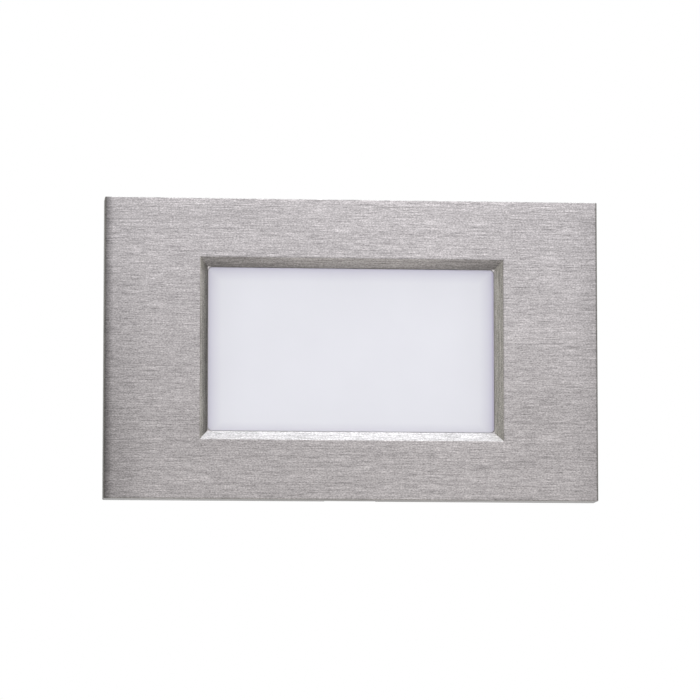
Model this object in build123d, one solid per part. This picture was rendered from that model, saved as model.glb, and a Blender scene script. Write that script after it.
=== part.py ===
"""A recessed LED step light for a single-gang wall box, laid on its side.

A brushed metal faceplate with a mitred, recessed window carries an opal lens.
Magnets hold it to a steel yoke, which two long screws fasten to the wall box.
Behind the yoke, in the box, sit a die-cast frame with the reflector and the LED board,
and a plastic case with the driver and its push-in terminals.

Frame: X to the right, Y into the wall, Z up. The wall surface is y = 0 and the light
faces -Y. The origin is the middle of the yoke on the wall surface. All sizes are in mm.
"""

from build123d import *
import math
import os

# ---------------------------------------------------------------- driving dimensions
# Shared by all the screws
screw_skirt_share = 0.45          # of the head's height, below its dome
screw_tip_share = 0.3             # of the shank's radius, bevelled off at the tip

# Wall box: two screws of 3 9/32 in spacing
box_screw_spacing = 83.34
box_screw_radius = 1.75
box_screw_neck_radius = 1.4       # under the head, where the yoke's slot holds the screw captive
box_screw_length = 25.0
box_screw_head_radius = 3.45
box_screw_head_height = 2.0

# Faceplate
plate_end_margin = 15.83          # from a box screw's axis to the plate's end
plate_height_margin = 13.75       # from the window's edge to the plate's edge
plate_face_thickness = 2.0
plate_side_wall = 1.8
plate_foot_gap = 0.5              # the rim stops short of the wall, where the foam seals
plate_corner_radius = 0.3
cavity_corner_radius = 0.5
plate_end_round = 0.5             # front edges at the left and right ends
plate_long_round = 0.25           # front edges along the top and bottom
pry_notch_width = 12.0
pry_notch_height = 1.2

# Window and lens
lens_opening_height = 38.3
lens_opening_corner = 1.0
bevel_width = 1.9                 # seen from the front, at the window's ends
bevel_height = 2.1                # seen from the front, above and below
bevel_depth = 2.0
bevel_edge_round = 0.5
window_land = 0.5                 # straight wall between the bevel and the lens gasket
lens_overlap = 2.3
lens_thickness = 1.9
lens_corner_radius = 1.5
lens_side_clearance = 0.2
lens_pad_gap = 0.08               # round the raised pad, inside the opening
lens_pad_setback = 0.15           # the pad stays just behind the bevel
lens_pad_round = 0.2
lens_rib_thickness = 1.0
lens_gasket_thickness = 0.4
lens_gasket_setback = 0.4         # the gasket stays out of sight behind the land

# Lens retainer: a stamped frame held by four screws
retainer_thickness = 0.6
retainer_overhang = 0.42
retainer_opening_setback = 0.2
retainer_head_gap = 0.8           # beside the box screws' heads
retainer_screw_x = 26.0
retainer_screw_radius = 1.0
retainer_screw_length = 3.0
retainer_screw_head_radius = 1.9
retainer_screw_head_height = 1.2
retainer_boss_radius = 2.2
retainer_ear_radius = 2.3

# Magnets in cups behind the face
magnet_radius = 3.0
magnet_thickness = 2.0
magnet_edge = 0.2
magnet_cup_wall = 1.2
magnet_cup_setback = 0.2          # the cup's rim stays behind the magnet's face
magnet_height_inset = 7.0         # from the yoke's edge to the magnet's axis

# Foam seal behind the faceplate
foam_width = 2.9
foam_inner_corner = 1.4
foam_clearance = 0.1

# Steel yoke
yoke_thickness = 1.2
yoke_edge_gap = 3.2               # from the yoke's edge to the foam
yoke_end_gap = 2.7
yoke_corner_radius = 4.0
yoke_rail_web = 1.8               # metal left at the scallops of the long rails
yoke_opening_gap = 0.6
yoke_opening_corner = 2.0
yoke_scallop_gap = 0.8
yoke_slot_length = 7.5
yoke_slot_height = 4.2
yoke_slot_web = 1.72
yoke_bend_radius = 0.8
yoke_tab_root = 0.8               # the flat where a tab joins the yoke
yoke_to_retainer_gap = 0.4
yoke_tab_depth = 11.0
yoke_tab_height = 24.0
yoke_tab_corner = 2.5

# Screws of the yoke's tabs
tab_screw_depth = 6.5
tab_screw_offset = 7.0
tab_screw_radius = 1.25
tab_screw_head_radius = 2.3
tab_screw_head_height = 1.5
tab_screw_reach = 3.0             # into the frame's side
tab_boss_radius = 2.6
tab_boss_height = 1.5

# Die-cast frame
module_corner_radius = 3.0
frame_wall = 1.6
frame_floor_thickness = 3.0
fin_height = 2.5
fin_thickness = 1.2
fin_pitch = 5.2
fin_count = 11
fin_front = 2.0
frame_post_radius = 2.8
frame_post_length = 4.0

# Reflector
reflector_wall = 1.0
reflector_clearance = 0.3
reflector_depth = 11.1            # from the wall surface to the LED board
reflector_flange_thickness = 1.0
reflector_flange_clearance = 0.2
reflector_side_slope = 4.3        # how far each end wall leans in
reflector_rear_corner = 3.0

# LED board
led_board_thickness = 1.5
led_board_clearance = 0.5
led_board_corner = 2.0
led_columns = 6
led_rows = 2
led_pitch_x = 8.0
led_pitch_z = 12.0
led_length = 3.5
led_height = 2.8
led_thickness = 0.7
thermal_pad_thickness = 0.4
led_screw_x = 22.0
led_screw_inset = 3.3             # from the frame's inner wall
led_screw_radius = 1.0
led_screw_head_radius = 1.9
led_screw_head_height = 1.3
led_screw_bite = 2.3              # into the frame's floor
led_screw_gap = 1.2               # between a head and the reflector's wall

# Link between the two boards
link_pin_side = 0.64
link_pin_pitch = 2.54
link_pin_tail = 1.3
link_pin_clearance = 0.06
link_bushing_width = 8.0
link_bushing_height = 4.4
link_bushing_corner = 1.0

# Driver case
case_wall = 1.8
case_rear_wall = 2.0
case_draft = 1.0                  # degrees
case_rear_round = 1.2
case_seal_thickness = 0.5
case_column_inset = 3.0           # from the case's inner wall to a column's axis
case_column_radius = 3.2
case_screw_radius = 1.25
case_screw_head_radius = 2.2
case_screw_head_height = 1.6
case_screw_clearance = 0.2
case_screw_sink = 1.8             # depth of the counterbore
case_window_gap = 0.25            # around the terminal block
insulator_thickness = 0.3

# Driver board
driver_board_thickness = 1.6
driver_board_clearance = 0.5
driver_room_gap = 0.8             # between the tallest component and the case's rear wall

# Driver components
terminal_poles = 3
terminal_pitch = 5.0
terminal_side_wall = 0.8
terminal_height = 11.6
terminal_edge_gap = 4.6           # from the board's end
terminal_floor = 2.0
terminal_chamber_depth = 4.5
terminal_chamber_width = 4.0
terminal_chamber_height = 9.6
terminal_corner = 0.6
terminal_edge = 0.3
conductor_radius = 1.4
funnel_radius = 2.0               # at the mouth of a conductor's entry
funnel_depth = 0.8
conductor_offset = -2.4           # below the block's middle
button_offset = 2.6               # above the block's middle
button_width = 2.8
button_height = 3.2
button_clearance = 0.2
button_foot_rim = 0.3
button_foot_thickness = 1.2
button_foot_gap = 0.1
button_setback = 0.2
button_slot_width = 0.8
button_slot_depth = 0.8
contact_thickness = 0.5

transformer_place = -9.0
transformer_width = 16.0
transformer_depth = 13.2
core_thickness = 5.0
core_yoke = 2.2
core_outer_leg = 2.2
core_middle_leg = 4.2
winding_height = 11.0
winding_corner = 2.2
winding_gap = 0.1                 # round the core's middle leg
winding_side_gap = 0.2            # beside the core's outer legs

capacitor_radius = 4.0
capacitor_length = 12.4
can_edge = 0.8                    # round of a can's far edge
component_gap = 0.8               # between components, and from them to the columns
moulded_edge = 0.3                # bevel of the moulded components
film_capacitor_width = 13.0
film_capacitor_height = 5.5
film_capacitor_depth = 11.0
choke_radius = 4.0
choke_waist_radius = 3.4
choke_length = 9.5
choke_flange = 1.2
fuse_radius = 4.1
fuse_length = 7.7
varistor_radius = 4.7
varistor_thickness = 3.8
varistor_edge = 1.1
varistor_stand = 0.8
lead_radius = 0.35
lead_pitch = 5.0
bridge_length = 6.5
bridge_height = 4.7
bridge_thickness = 1.7
chip_length = 4.9
chip_height = 3.9
chip_thickness = 1.5
component_margin = 2.2            # from the board's edges

# ---------------------------------------------------------------- worked-out sizes
# Depths along Y, from the room to the back of the case
yoke_front = -yoke_thickness
retainer_back = yoke_front - yoke_to_retainer_gap
lens_back = retainer_back - retainer_thickness
lens_front = lens_back - lens_thickness
lens_seat = lens_front - lens_gasket_thickness
plate_front = lens_seat - window_land - bevel_depth
plate_face_back = plate_front + plate_face_thickness
plate_foot = -plate_foot_gap
magnet_front = yoke_front - magnet_thickness

flange_front = -reflector_flange_thickness
led_board_front = reflector_depth
led_board_back = led_board_front + led_board_thickness
floor_front = led_board_back + thermal_pad_thickness
floor_back = floor_front + frame_floor_thickness
case_front = floor_back + case_seal_thickness
driver_board_front = floor_back + frame_post_length
driver_board_back = driver_board_front + driver_board_thickness
tallest_component = max(transformer_depth, capacitor_length, film_capacitor_depth)
case_inner_back = driver_board_back + tallest_component + driver_room_gap
case_back = case_inner_back + case_rear_wall

# Faceplate and lens, across X
box_screw_x = box_screw_spacing / 2
plate_width = box_screw_spacing + 2 * plate_end_margin
retainer_width = box_screw_spacing - 2 * (box_screw_head_radius + retainer_head_gap)
rib_width = retainer_width - 2 * retainer_overhang
lens_pocket_width = rib_width - 2 * lens_rib_thickness
lens_width = lens_pocket_width - 2 * lens_side_clearance
lens_opening_width = lens_width - 2 * lens_overlap
window_width = lens_opening_width + 2 * bevel_width

# Faceplate and lens, up Z
window_height = lens_opening_height + 2 * bevel_height
plate_height = window_height + 2 * plate_height_margin
lens_height = lens_opening_height + 2 * lens_overlap
lens_pocket_height = lens_height + 2 * lens_side_clearance
rib_height = lens_pocket_height + 2 * lens_rib_thickness
retainer_height = rib_height + 2 * retainer_overhang

# Foam, yoke and what they leave for the frame
cavity_width = plate_width - 2 * plate_side_wall
cavity_height = plate_height - 2 * plate_side_wall
foam_outer_width = cavity_width - 2 * foam_clearance
foam_outer_height = cavity_height - 2 * foam_clearance
foam_inner_width = foam_outer_width - 2 * foam_width
foam_inner_height = foam_outer_height - 2 * foam_width
yoke_width = foam_inner_width - 2 * yoke_end_gap
yoke_height = foam_inner_height - 2 * yoke_edge_gap
retainer_screw_z = (retainer_height + foam_inner_height) / 4
yoke_scallop_radius = retainer_screw_head_radius + yoke_scallop_gap
yoke_opening_height = 2 * (retainer_screw_z - yoke_scallop_radius - yoke_rail_web)
yoke_opening_width = box_screw_spacing - yoke_slot_length - 2 * yoke_slot_web
tab_outer_x = yoke_opening_width / 2 - yoke_bend_radius
magnet_x = (retainer_width + yoke_width) / 4
magnet_z = yoke_height / 2 - magnet_height_inset
magnet_cup_radius = magnet_radius + magnet_cup_wall

# Frame, reflector and LED board
module_width = 2 * (tab_outer_x - yoke_thickness)
module_height = yoke_opening_height - 2 * yoke_opening_gap
frame_inner_width = module_width - 2 * frame_wall
frame_inner_height = module_height - 2 * frame_wall
frame_inner_corner = module_corner_radius - frame_wall
reflector_front_width = frame_inner_width - 2 * reflector_clearance
reflector_front_height = frame_inner_height - 2 * reflector_clearance
led_screw_z = frame_inner_height / 2 - led_screw_inset
reflector_rear_width = reflector_front_width - 2 * reflector_side_slope
reflector_rear_height = 2 * (led_screw_z - led_screw_head_radius - led_screw_gap)
link_z = led_screw_z

# Driver case and board
case_inner_width = module_width - 2 * case_wall
case_inner_height = module_height - 2 * case_wall
case_inner_corner = module_corner_radius - case_wall
column_x = case_inner_width / 2 - case_column_inset
column_z = case_inner_height / 2 - case_column_inset
driver_board_width = case_inner_width - 2 * driver_board_clearance
driver_board_height = case_inner_height - 2 * driver_board_clearance
terminal_width = terminal_poles * terminal_pitch + 2 * terminal_side_wall
terminal_x = driver_board_width / 2 - terminal_edge_gap - terminal_width / 2
winding_width = transformer_width - 2 * (core_outer_leg + winding_side_gap)
terminal_chamber_front = driver_board_back + terminal_floor
terminal_chamber_back = terminal_chamber_front + terminal_chamber_depth


# ---------------------------------------------------------------- shared shapes
def facing_room(y):
    """The plane at depth y that looks out of the wall, with X across and Z up."""
    return Plane.XZ.offset(-y)


def facing_box(y):
    """The plane at depth y that looks into the wall, with X across and -Z up."""
    return Plane(origin=(0, y, 0), x_dir=(1, 0, 0), z_dir=(0, 1, 0))


def slab(outline, front, back):
    """An outline across X and up Z, made solid from one depth to another."""
    return extrude(facing_room(back) * outline, amount=back - front)


def copies(outline, places):
    """The same outline at each (x, z) place, as one sketch."""
    return Sketch() + [Pos(x, z) * outline for x, z in places]


def four_corners(x, z):
    """The four places at +-x and +-z."""
    return [(side * x, level * z) for side in (-1, 1) for level in (-1, 1)]


def crossed_prisms(from_below, from_end, width, height):
    """The form that shows one section (X, Y) from below and another (Z, Y) from its end."""
    below = Plane.XY.offset(-height / 2)
    end = Plane(origin=(width / 2, 0, 0), x_dir=(0, 0, 1), z_dir=(-1, 0, 0))
    return extrude(below * from_below, amount=height) & extrude(end * from_end, amount=width)


def group(solids):
    """Separate solids of one kind, kept together."""
    return Compound(children=list(solids))


def turned(half_section):
    """A half section, radius across and height up, turned round the local Z axis."""
    return revolve(Plane.XZ * make_face(half_section), Axis.Z)


def pan_screw(head_radius, head_height, shank_radius, length):
    """A screw on the local Z axis: domed head above z = 0, shank with a bevelled tip below."""
    skirt = head_height * screw_skirt_share
    dome_height = head_height - skirt
    dome_radius = (head_radius**2 + dome_height**2) / (2 * dome_height)
    dome_start = math.degrees(math.acos(head_radius / dome_radius))
    tip_bevel = shank_radius * screw_tip_share
    side = Polyline(
        (0, head_height),
        (0, -length),
        (shank_radius - tip_bevel, -length),
        (shank_radius, tip_bevel - length),
        (shank_radius, 0),
        (head_radius, 0),
        (head_radius, skirt),
    )
    dome_centre = (0, head_height - dome_radius)
    return turned(side + CenterArc(dome_centre, dome_radius, dome_start, 90 - dome_start))


# ---------------------------------------------------------------- faceplate
def front_rounded_outline(width, radius):
    """A section through the plate, its width across and its depth up, with rounded front corners."""
    half = width / 2
    front_and_sides = FilletPolyline(
        (-half, plate_foot),
        (-half, plate_front),
        (half, plate_front),
        (half, plate_foot),
        radius=radius,
    )
    return make_face(front_and_sides + Line((half, plate_foot), (-half, plate_foot)))


def plate_block():
    """The plate's outer form: fuller front edges at its ends than along its top and bottom."""
    rounded = crossed_prisms(
        front_rounded_outline(plate_width, plate_end_round),
        front_rounded_outline(plate_height, plate_long_round),
        plate_width,
        plate_height,
    )
    outline = RectangleRounded(plate_width, plate_height, plate_corner_radius)
    return rounded & slab(outline, plate_front, plate_foot)


def bevel_outline(front_width, back_width):
    """A section through the window's bevel, wide at the face and narrow at the lens."""
    bevel_back = plate_front + bevel_depth
    return make_face(
        Polyline(
            (-front_width / 2, plate_front),
            (front_width / 2, plate_front),
            (back_width / 2, bevel_back),
            (-back_width / 2, bevel_back),
            close=True,
        )
    )


def make_faceplate():
    """The plate with its mitred window, the lens pocket, four screw bosses and four magnet cups."""
    cavity_outline = RectangleRounded(cavity_width, cavity_height, cavity_corner_radius)
    plate = plate_block() - slab(cavity_outline, plate_face_back, plate_foot)

    rib_corner = lens_corner_radius + lens_rib_thickness
    plate += slab(RectangleRounded(rib_width, rib_height, rib_corner), plate_face_back, lens_back)
    boss_places = four_corners(retainer_screw_x, retainer_screw_z)
    plate += slab(copies(Circle(retainer_boss_radius), boss_places), plate_face_back, lens_back)
    cup_places = four_corners(magnet_x, magnet_z)
    cup_back = yoke_front - magnet_cup_setback
    plate += slab(copies(Circle(magnet_cup_radius), cup_places), plate_face_back, cup_back)

    bevel = crossed_prisms(
        bevel_outline(window_width, lens_opening_width),
        bevel_outline(window_height, lens_opening_height),
        window_width,
        window_height,
    )
    opening = RectangleRounded(lens_opening_width, lens_opening_height, lens_opening_corner)
    plate -= bevel
    plate = round_window_edge(plate)
    plate -= slab(opening, plate_front + bevel_depth - bevel_edge_round, lens_seat)
    lens_pocket = RectangleRounded(lens_pocket_width, lens_pocket_height, lens_corner_radius)
    plate -= slab(lens_pocket, lens_seat, lens_back)
    plate -= slab(copies(Circle(magnet_radius), cup_places), magnet_front, cup_back)
    screw_hole = copies(Circle(retainer_screw_radius), boss_places)
    screw_end = lens_back - retainer_screw_length + retainer_thickness
    plate -= slab(screw_hole, screw_end, lens_back)

    notch = Pos(0, -plate_height / 2) * Rectangle(pry_notch_width, 2 * plate_side_wall)
    return plate - slab(notch, plate_foot - pry_notch_height, plate_foot)


def round_window_edge(plate):
    """A small round where the bevel meets the face, so that the window's edge catches the light."""
    front_edges = plate.edges().group_by(Axis.Y)[0]
    window_edges = [
        edge
        for edge in front_edges
        if abs(edge.center().X) <= lens_pocket_width / 2
        and abs(edge.center().Z) <= lens_pocket_height / 2
    ]
    return fillet(window_edges, bevel_edge_round)


def make_lens():
    """The opal lens: a flange in the pocket and a raised pad with soft edges in the opening."""
    flange = RectangleRounded(lens_width, lens_height, lens_corner_radius)
    pad = RectangleRounded(
        lens_opening_width - 2 * lens_pad_gap,
        lens_opening_height - 2 * lens_pad_gap,
        lens_opening_corner,
    )
    pad_front = plate_front + bevel_depth + lens_pad_setback
    lens = slab(flange, lens_front, lens_back) + slab(pad, pad_front, lens_front)
    return fillet(lens.faces().sort_by(Axis.Y)[0].edges(), lens_pad_round)


def make_lens_gasket():
    """The thin ring between the lens and its seat, kept back from the window."""
    outer = RectangleRounded(lens_width, lens_height, lens_corner_radius)
    inner = RectangleRounded(
        lens_opening_width + 2 * lens_gasket_setback,
        lens_opening_height + 2 * lens_gasket_setback,
        lens_opening_corner,
    )
    return slab(outer - inner, lens_seat, lens_front)


def make_lens_retainer():
    """A stamped steel frame with four screw ears, which presses the lens on its gasket."""
    outer = RectangleRounded(
        retainer_width, retainer_height, lens_corner_radius + lens_rib_thickness
    )
    ear_length = retainer_screw_z - lens_opening_height / 2
    ear_middle = lens_opening_height / 2 + ear_length / 2
    ear_places = four_corners(retainer_screw_x, ear_middle)
    ears = copies(Rectangle(2 * retainer_ear_radius, ear_length), ear_places)
    screw_places = four_corners(retainer_screw_x, retainer_screw_z)
    ear_ends = copies(Circle(retainer_ear_radius), screw_places)
    opening = RectangleRounded(
        lens_opening_width + 2 * retainer_opening_setback,
        lens_opening_height + 2 * retainer_opening_setback,
        lens_opening_corner,
    )
    holes = copies(Circle(retainer_screw_radius), screw_places)
    return slab(outer + ears + ear_ends - opening - holes, lens_back, retainer_back)


def make_retainer_screws():
    """Four small screws through the retainer's ears into the plate's bosses."""
    screw = pan_screw(
        retainer_screw_head_radius,
        retainer_screw_head_height,
        retainer_screw_radius,
        retainer_screw_length,
    )
    seat = facing_box(retainer_back)
    places = four_corners(retainer_screw_x, retainer_screw_z)
    return group(seat * Pos(x, z) * screw for x, z in places)


def make_magnets():
    """Four disc magnets in the plate's cups, flat on the steel yoke."""
    disc = Cylinder(magnet_radius, magnet_thickness)
    disc = chamfer(disc.edges().filter_by(GeomType.CIRCLE), magnet_edge)
    middle = facing_room((magnet_front + yoke_front) / 2)
    return group(middle * Pos(x, z) * disc for x, z in four_corners(magnet_x, magnet_z))


def make_wall_gasket():
    """The foam frame inside the plate's rim, which seals against the wall."""
    outer = RectangleRounded(foam_outer_width, foam_outer_height, cavity_corner_radius)
    inner = RectangleRounded(foam_inner_width, foam_inner_height, foam_inner_corner)
    return slab(outer - inner, plate_face_back, 0)


# ---------------------------------------------------------------- yoke and its screws
def yoke_tab(side):
    """One tab, bent back from the yoke's opening on a round, with rounded free corners."""
    bend_x = tab_outer_x + yoke_bend_radius
    outer_radius = yoke_bend_radius + yoke_thickness
    inner_x = tab_outer_x - yoke_thickness
    root_x = bend_x + yoke_tab_root
    section = make_face(
        Line((root_x, yoke_front), (bend_x, yoke_front))
        + CenterArc((bend_x, yoke_bend_radius), outer_radius, 180, 90)
        + Line((inner_x, yoke_bend_radius), (inner_x, yoke_tab_depth))
        + Line((inner_x, yoke_tab_depth), (tab_outer_x, yoke_tab_depth))
        + Line((tab_outer_x, yoke_tab_depth), (tab_outer_x, yoke_bend_radius))
        + CenterArc((bend_x, yoke_bend_radius), yoke_bend_radius, 180, 90)
        + Line((bend_x, 0), (root_x, 0))
        + Line((root_x, 0), (root_x, yoke_front))
    )
    tab = extrude(Plane.XY.offset(-yoke_tab_height / 2) * section, amount=yoke_tab_height)
    free_corners = tab.edges().filter_by(Axis.X).group_by(Axis.Y)[-1]
    tab = fillet(free_corners, yoke_tab_corner)
    return tab if side > 0 else mirror(tab, Plane.YZ)


def make_mounting_yoke():
    """The steel yoke: two box screw slots, a large opening, scallops for the plate's screws, two tabs."""
    outline = RectangleRounded(yoke_width, yoke_height, yoke_corner_radius)
    opening = RectangleRounded(yoke_opening_width, yoke_opening_height, yoke_opening_corner)
    scallops = copies(
        Circle(yoke_scallop_radius), four_corners(retainer_screw_x, retainer_screw_z)
    )
    slots = copies(
        SlotOverall(yoke_slot_length, yoke_slot_height), [(-box_screw_x, 0), (box_screw_x, 0)]
    )
    yoke = slab(outline - opening - scallops - slots, yoke_front, 0)
    for side in (-1, 1):
        yoke += yoke_tab(side)
    for offset in (-tab_screw_offset, tab_screw_offset):
        yoke -= tab_screw_bore(offset, tab_screw_radius)
    return yoke


def tab_screw_bore(offset, radius):
    """A straight bore from end to end through both tabs' screw places."""
    axis_start = Plane(origin=(-plate_width / 2, tab_screw_depth, offset), z_dir=(1, 0, 0))
    return extrude(axis_start * Circle(radius), amount=plate_width)


def make_yoke_tab_screws():
    """Four screws from the tabs into the frame's sides."""
    screw = pan_screw(
        tab_screw_head_radius,
        tab_screw_head_height,
        tab_screw_radius,
        yoke_thickness + tab_screw_reach,
    )
    screws = []
    for side in (-1, 1):
        for offset in (-tab_screw_offset, tab_screw_offset):
            seat = Plane(origin=(side * tab_outer_x, tab_screw_depth, offset), z_dir=(side, 0, 0))
            screws.append(seat * screw)
    return group(screws)


def make_box_screws():
    """The two long screws that hold the yoke to the wall box."""
    screw = pan_screw(
        box_screw_head_radius, box_screw_head_height, box_screw_radius, box_screw_length
    )
    neck_ring = Circle(box_screw_radius) - Circle(box_screw_neck_radius)
    screw -= extrude(neck_ring, amount=-yoke_thickness)
    seat = facing_room(yoke_front)
    return group(seat * Pos(x, 0) * screw for x in (-box_screw_x, box_screw_x))


# ---------------------------------------------------------------- frame, reflector, LED board
def make_heat_sink_frame():
    """The die-cast frame: a tray open to the room, fins above and below, four posts behind."""
    body = slab(RectangleRounded(module_width, module_height, module_corner_radius), 0, floor_back)
    fin_places = [((i - (fin_count - 1) / 2) * fin_pitch, 0) for i in range(fin_count)]
    fin_strip = Rectangle(fin_thickness, module_height + 2 * fin_height)
    fins = slab(copies(fin_strip, fin_places), fin_front, floor_back)
    slanted_front = Plane.YZ.offset(-module_width / 2) * make_face(
        Polyline(
            (fin_front, module_height / 2),
            (fin_front + fin_height, module_height / 2 + fin_height),
            (floor_back, module_height / 2 + fin_height),
            (floor_back, -module_height / 2 - fin_height),
            (fin_front + fin_height, -module_height / 2 - fin_height),
            (fin_front, -module_height / 2),
            close=True,
        )
    )
    body += fins & extrude(slanted_front, amount=module_width)
    pocket = RectangleRounded(frame_inner_width, frame_inner_height, frame_inner_corner)
    body -= slab(pocket, 0, floor_front)
    for side in (-1, 1):
        for offset in (-tab_screw_offset, tab_screw_offset):
            inside_wall = Plane(
                origin=(side * (module_width - frame_wall) / 2, tab_screw_depth, offset),
                z_dir=(-side, 0, 0),
            )
            boss = inside_wall * Circle(tab_boss_radius)
            body += extrude(boss, amount=tab_boss_height + frame_wall / 2)

    posts = copies(Circle(frame_post_radius), four_corners(column_x, column_z))
    body += slab(posts, floor_back, driver_board_front)
    for offset in (-tab_screw_offset, tab_screw_offset):
        body -= tab_screw_bore(offset, tab_screw_radius)
    led_screw_holes = copies(Circle(led_screw_radius), four_corners(led_screw_x, led_screw_z))
    body -= slab(led_screw_holes, floor_front, floor_front + led_screw_bite)
    case_screw_holes = copies(Circle(case_screw_radius), four_corners(column_x, column_z))
    body -= slab(case_screw_holes, case_screw_tip(), driver_board_front)
    return body - slab(link_outline(), floor_front, floor_back)


def case_screw_tip():
    """How far forward the case screws reach: half way into the frame's floor."""
    return floor_back - frame_floor_thickness / 2


def link_outline():
    """The outline of the bushing between the boards."""
    bushing = RectangleRounded(link_bushing_width, link_bushing_height, link_bushing_corner)
    return Pos(0, link_z) * bushing


def link_pin_outline(clearance):
    """The square sections of the two link pins, or their holes with some clearance."""
    side = link_pin_side + 2 * clearance
    return copies(
        Rectangle(side, side), [(-link_pin_pitch / 2, link_z), (link_pin_pitch / 2, link_z)]
    )


def make_reflector():
    """The white funnel behind the lens, with the flange that rests on the frame's rim."""
    flange_width = module_width - 2 * reflector_flange_clearance
    flange_height = module_height - 2 * reflector_flange_clearance
    flange_outline = RectangleRounded(flange_width, flange_height, module_corner_radius)
    flange = slab(flange_outline, flange_front, 0)
    return flange + funnel(0) - funnel(reflector_wall)


def funnel(wall):
    """The funnel's form, drawn in by a wall on every side."""
    front = RectangleRounded(
        reflector_front_width - 2 * wall, reflector_front_height - 2 * wall, frame_inner_corner
    )
    rear = RectangleRounded(
        reflector_rear_width - 2 * wall, reflector_rear_height - 2 * wall, reflector_rear_corner
    )
    return loft([facing_room(flange_front) * front, facing_room(led_board_front) * rear])


def led_board_outline():
    """The LED board's outline, which the thermal pad shares."""
    return RectangleRounded(
        frame_inner_width - 2 * led_board_clearance,
        frame_inner_height - 2 * led_board_clearance,
        led_board_corner,
    )


def make_led_board():
    """The aluminium-backed board with its screw holes and the link pins' holes."""
    screw_holes = copies(Circle(led_screw_radius), four_corners(led_screw_x, led_screw_z))
    pin_holes = link_pin_outline(link_pin_clearance)
    outline = led_board_outline() - screw_holes - pin_holes
    return slab(outline, led_board_front, led_board_back)


def make_led_packages():
    """Two rows of LED packages on the board."""
    package = Rectangle(led_length, led_height)
    places = [
        ((i - (led_columns - 1) / 2) * led_pitch_x, (j - (led_rows - 1) / 2) * led_pitch_z)
        for i in range(led_columns)
        for j in range(led_rows)
    ]
    front = led_board_front - led_thickness
    return group(slab(Pos(x, z) * package, front, led_board_front) for x, z in places)


def make_led_board_screws():
    """Four screws that press the board and its pad to the frame's floor."""
    length = led_board_thickness + thermal_pad_thickness + led_screw_bite
    screw = pan_screw(led_screw_head_radius, led_screw_head_height, led_screw_radius, length)
    seat = facing_room(led_board_front)
    return group(seat * Pos(x, z) * screw for x, z in four_corners(led_screw_x, led_screw_z))


def make_thermal_pad():
    """The soft pad under the LED board, open round the screws and the link."""
    screw_holes = copies(Circle(led_screw_radius), four_corners(led_screw_x, led_screw_z))
    outline = led_board_outline() - screw_holes - link_outline()
    return slab(outline, led_board_back, floor_front)


def make_link_pins():
    """Two square pins from the LED board to the driver board."""
    pin_front = led_board_front - link_pin_tail
    pin_back = driver_board_back + link_pin_tail
    side = link_pin_side
    return group(
        slab(Pos(x, link_z) * Rectangle(side, side), pin_front, pin_back)
        for x in (-link_pin_pitch / 2, link_pin_pitch / 2)
    )


def make_link_bushing():
    """The plastic bushing that keeps the pins off the frame."""
    outline = link_outline() - link_pin_outline(link_pin_clearance)
    return slab(outline, led_board_back, floor_back + insulator_thickness)


# ---------------------------------------------------------------- driver case
def make_insulator_sheet():
    """The sheet between the frame and the driver board, notched at the posts, open at the link."""
    notch = Rectangle(2 * frame_post_radius, 2 * frame_post_radius)
    notches = copies(notch, four_corners(column_x, column_z))
    sheet = Rectangle(driver_board_width, driver_board_height) - notches - link_outline()
    return slab(sheet, floor_back, floor_back + insulator_thickness)


def make_case_seal():
    """The flat ring between the frame and the case."""
    outer = RectangleRounded(module_width, module_height, module_corner_radius)
    inner = RectangleRounded(case_inner_width, case_inner_height, case_inner_corner)
    return slab(outer - inner, floor_back, case_front)


def make_driver_case():
    """The moulded case: drafted walls, a rounded rear, four screw columns, a terminal window."""
    outline = RectangleRounded(module_width, module_height, module_corner_radius)
    depth = case_back - case_front
    case = extrude(facing_box(case_front) * outline, amount=depth, taper=case_draft)
    case = fillet(case.faces().sort_by(Axis.Y)[-1].edges(), case_rear_round)
    pocket = RectangleRounded(case_inner_width, case_inner_height, case_inner_corner)
    pocket_depth = case_inner_back - case_front
    room = extrude(facing_box(case_front) * pocket, amount=pocket_depth, taper=case_draft)
    columns = slab(
        copies(Circle(case_column_radius), four_corners(column_x, column_z)),
        driver_board_back,
        case_inner_back,
    )
    case -= room - columns

    sinks = copies(
        Circle(case_screw_head_radius + case_screw_clearance), four_corners(column_x, column_z)
    )
    case -= slab(sinks, case_back - case_screw_sink, case_back)
    shafts = copies(
        Circle(case_screw_radius + case_screw_clearance), four_corners(column_x, column_z)
    )
    case -= slab(shafts, driver_board_back, case_back)
    window = RectangleRounded(
        terminal_width + 2 * case_window_gap,
        terminal_height + 2 * case_window_gap,
        terminal_corner,
    )
    return case - slab(Pos(terminal_x, 0) * window, case_inner_back, case_back)


def make_case_screws():
    """Four long screws from the case's rear, through the board, into the frame's posts."""
    seat_y = case_back - case_screw_sink
    screw = pan_screw(
        case_screw_head_radius,
        case_screw_head_height,
        case_screw_radius,
        seat_y - case_screw_tip(),
    )
    seat = facing_box(seat_y)
    return group(seat * Pos(x, z) * screw for x, z in four_corners(column_x, column_z))


def make_driver_board():
    """The driver board, held between the frame's posts and the case's columns."""
    screw_holes = copies(
        Circle(case_screw_radius + case_screw_clearance), four_corners(column_x, column_z)
    )
    pin_holes = link_pin_outline(link_pin_clearance)
    outline = Rectangle(driver_board_width, driver_board_height) - screw_holes - pin_holes
    return slab(outline, driver_board_front, driver_board_back)


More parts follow.
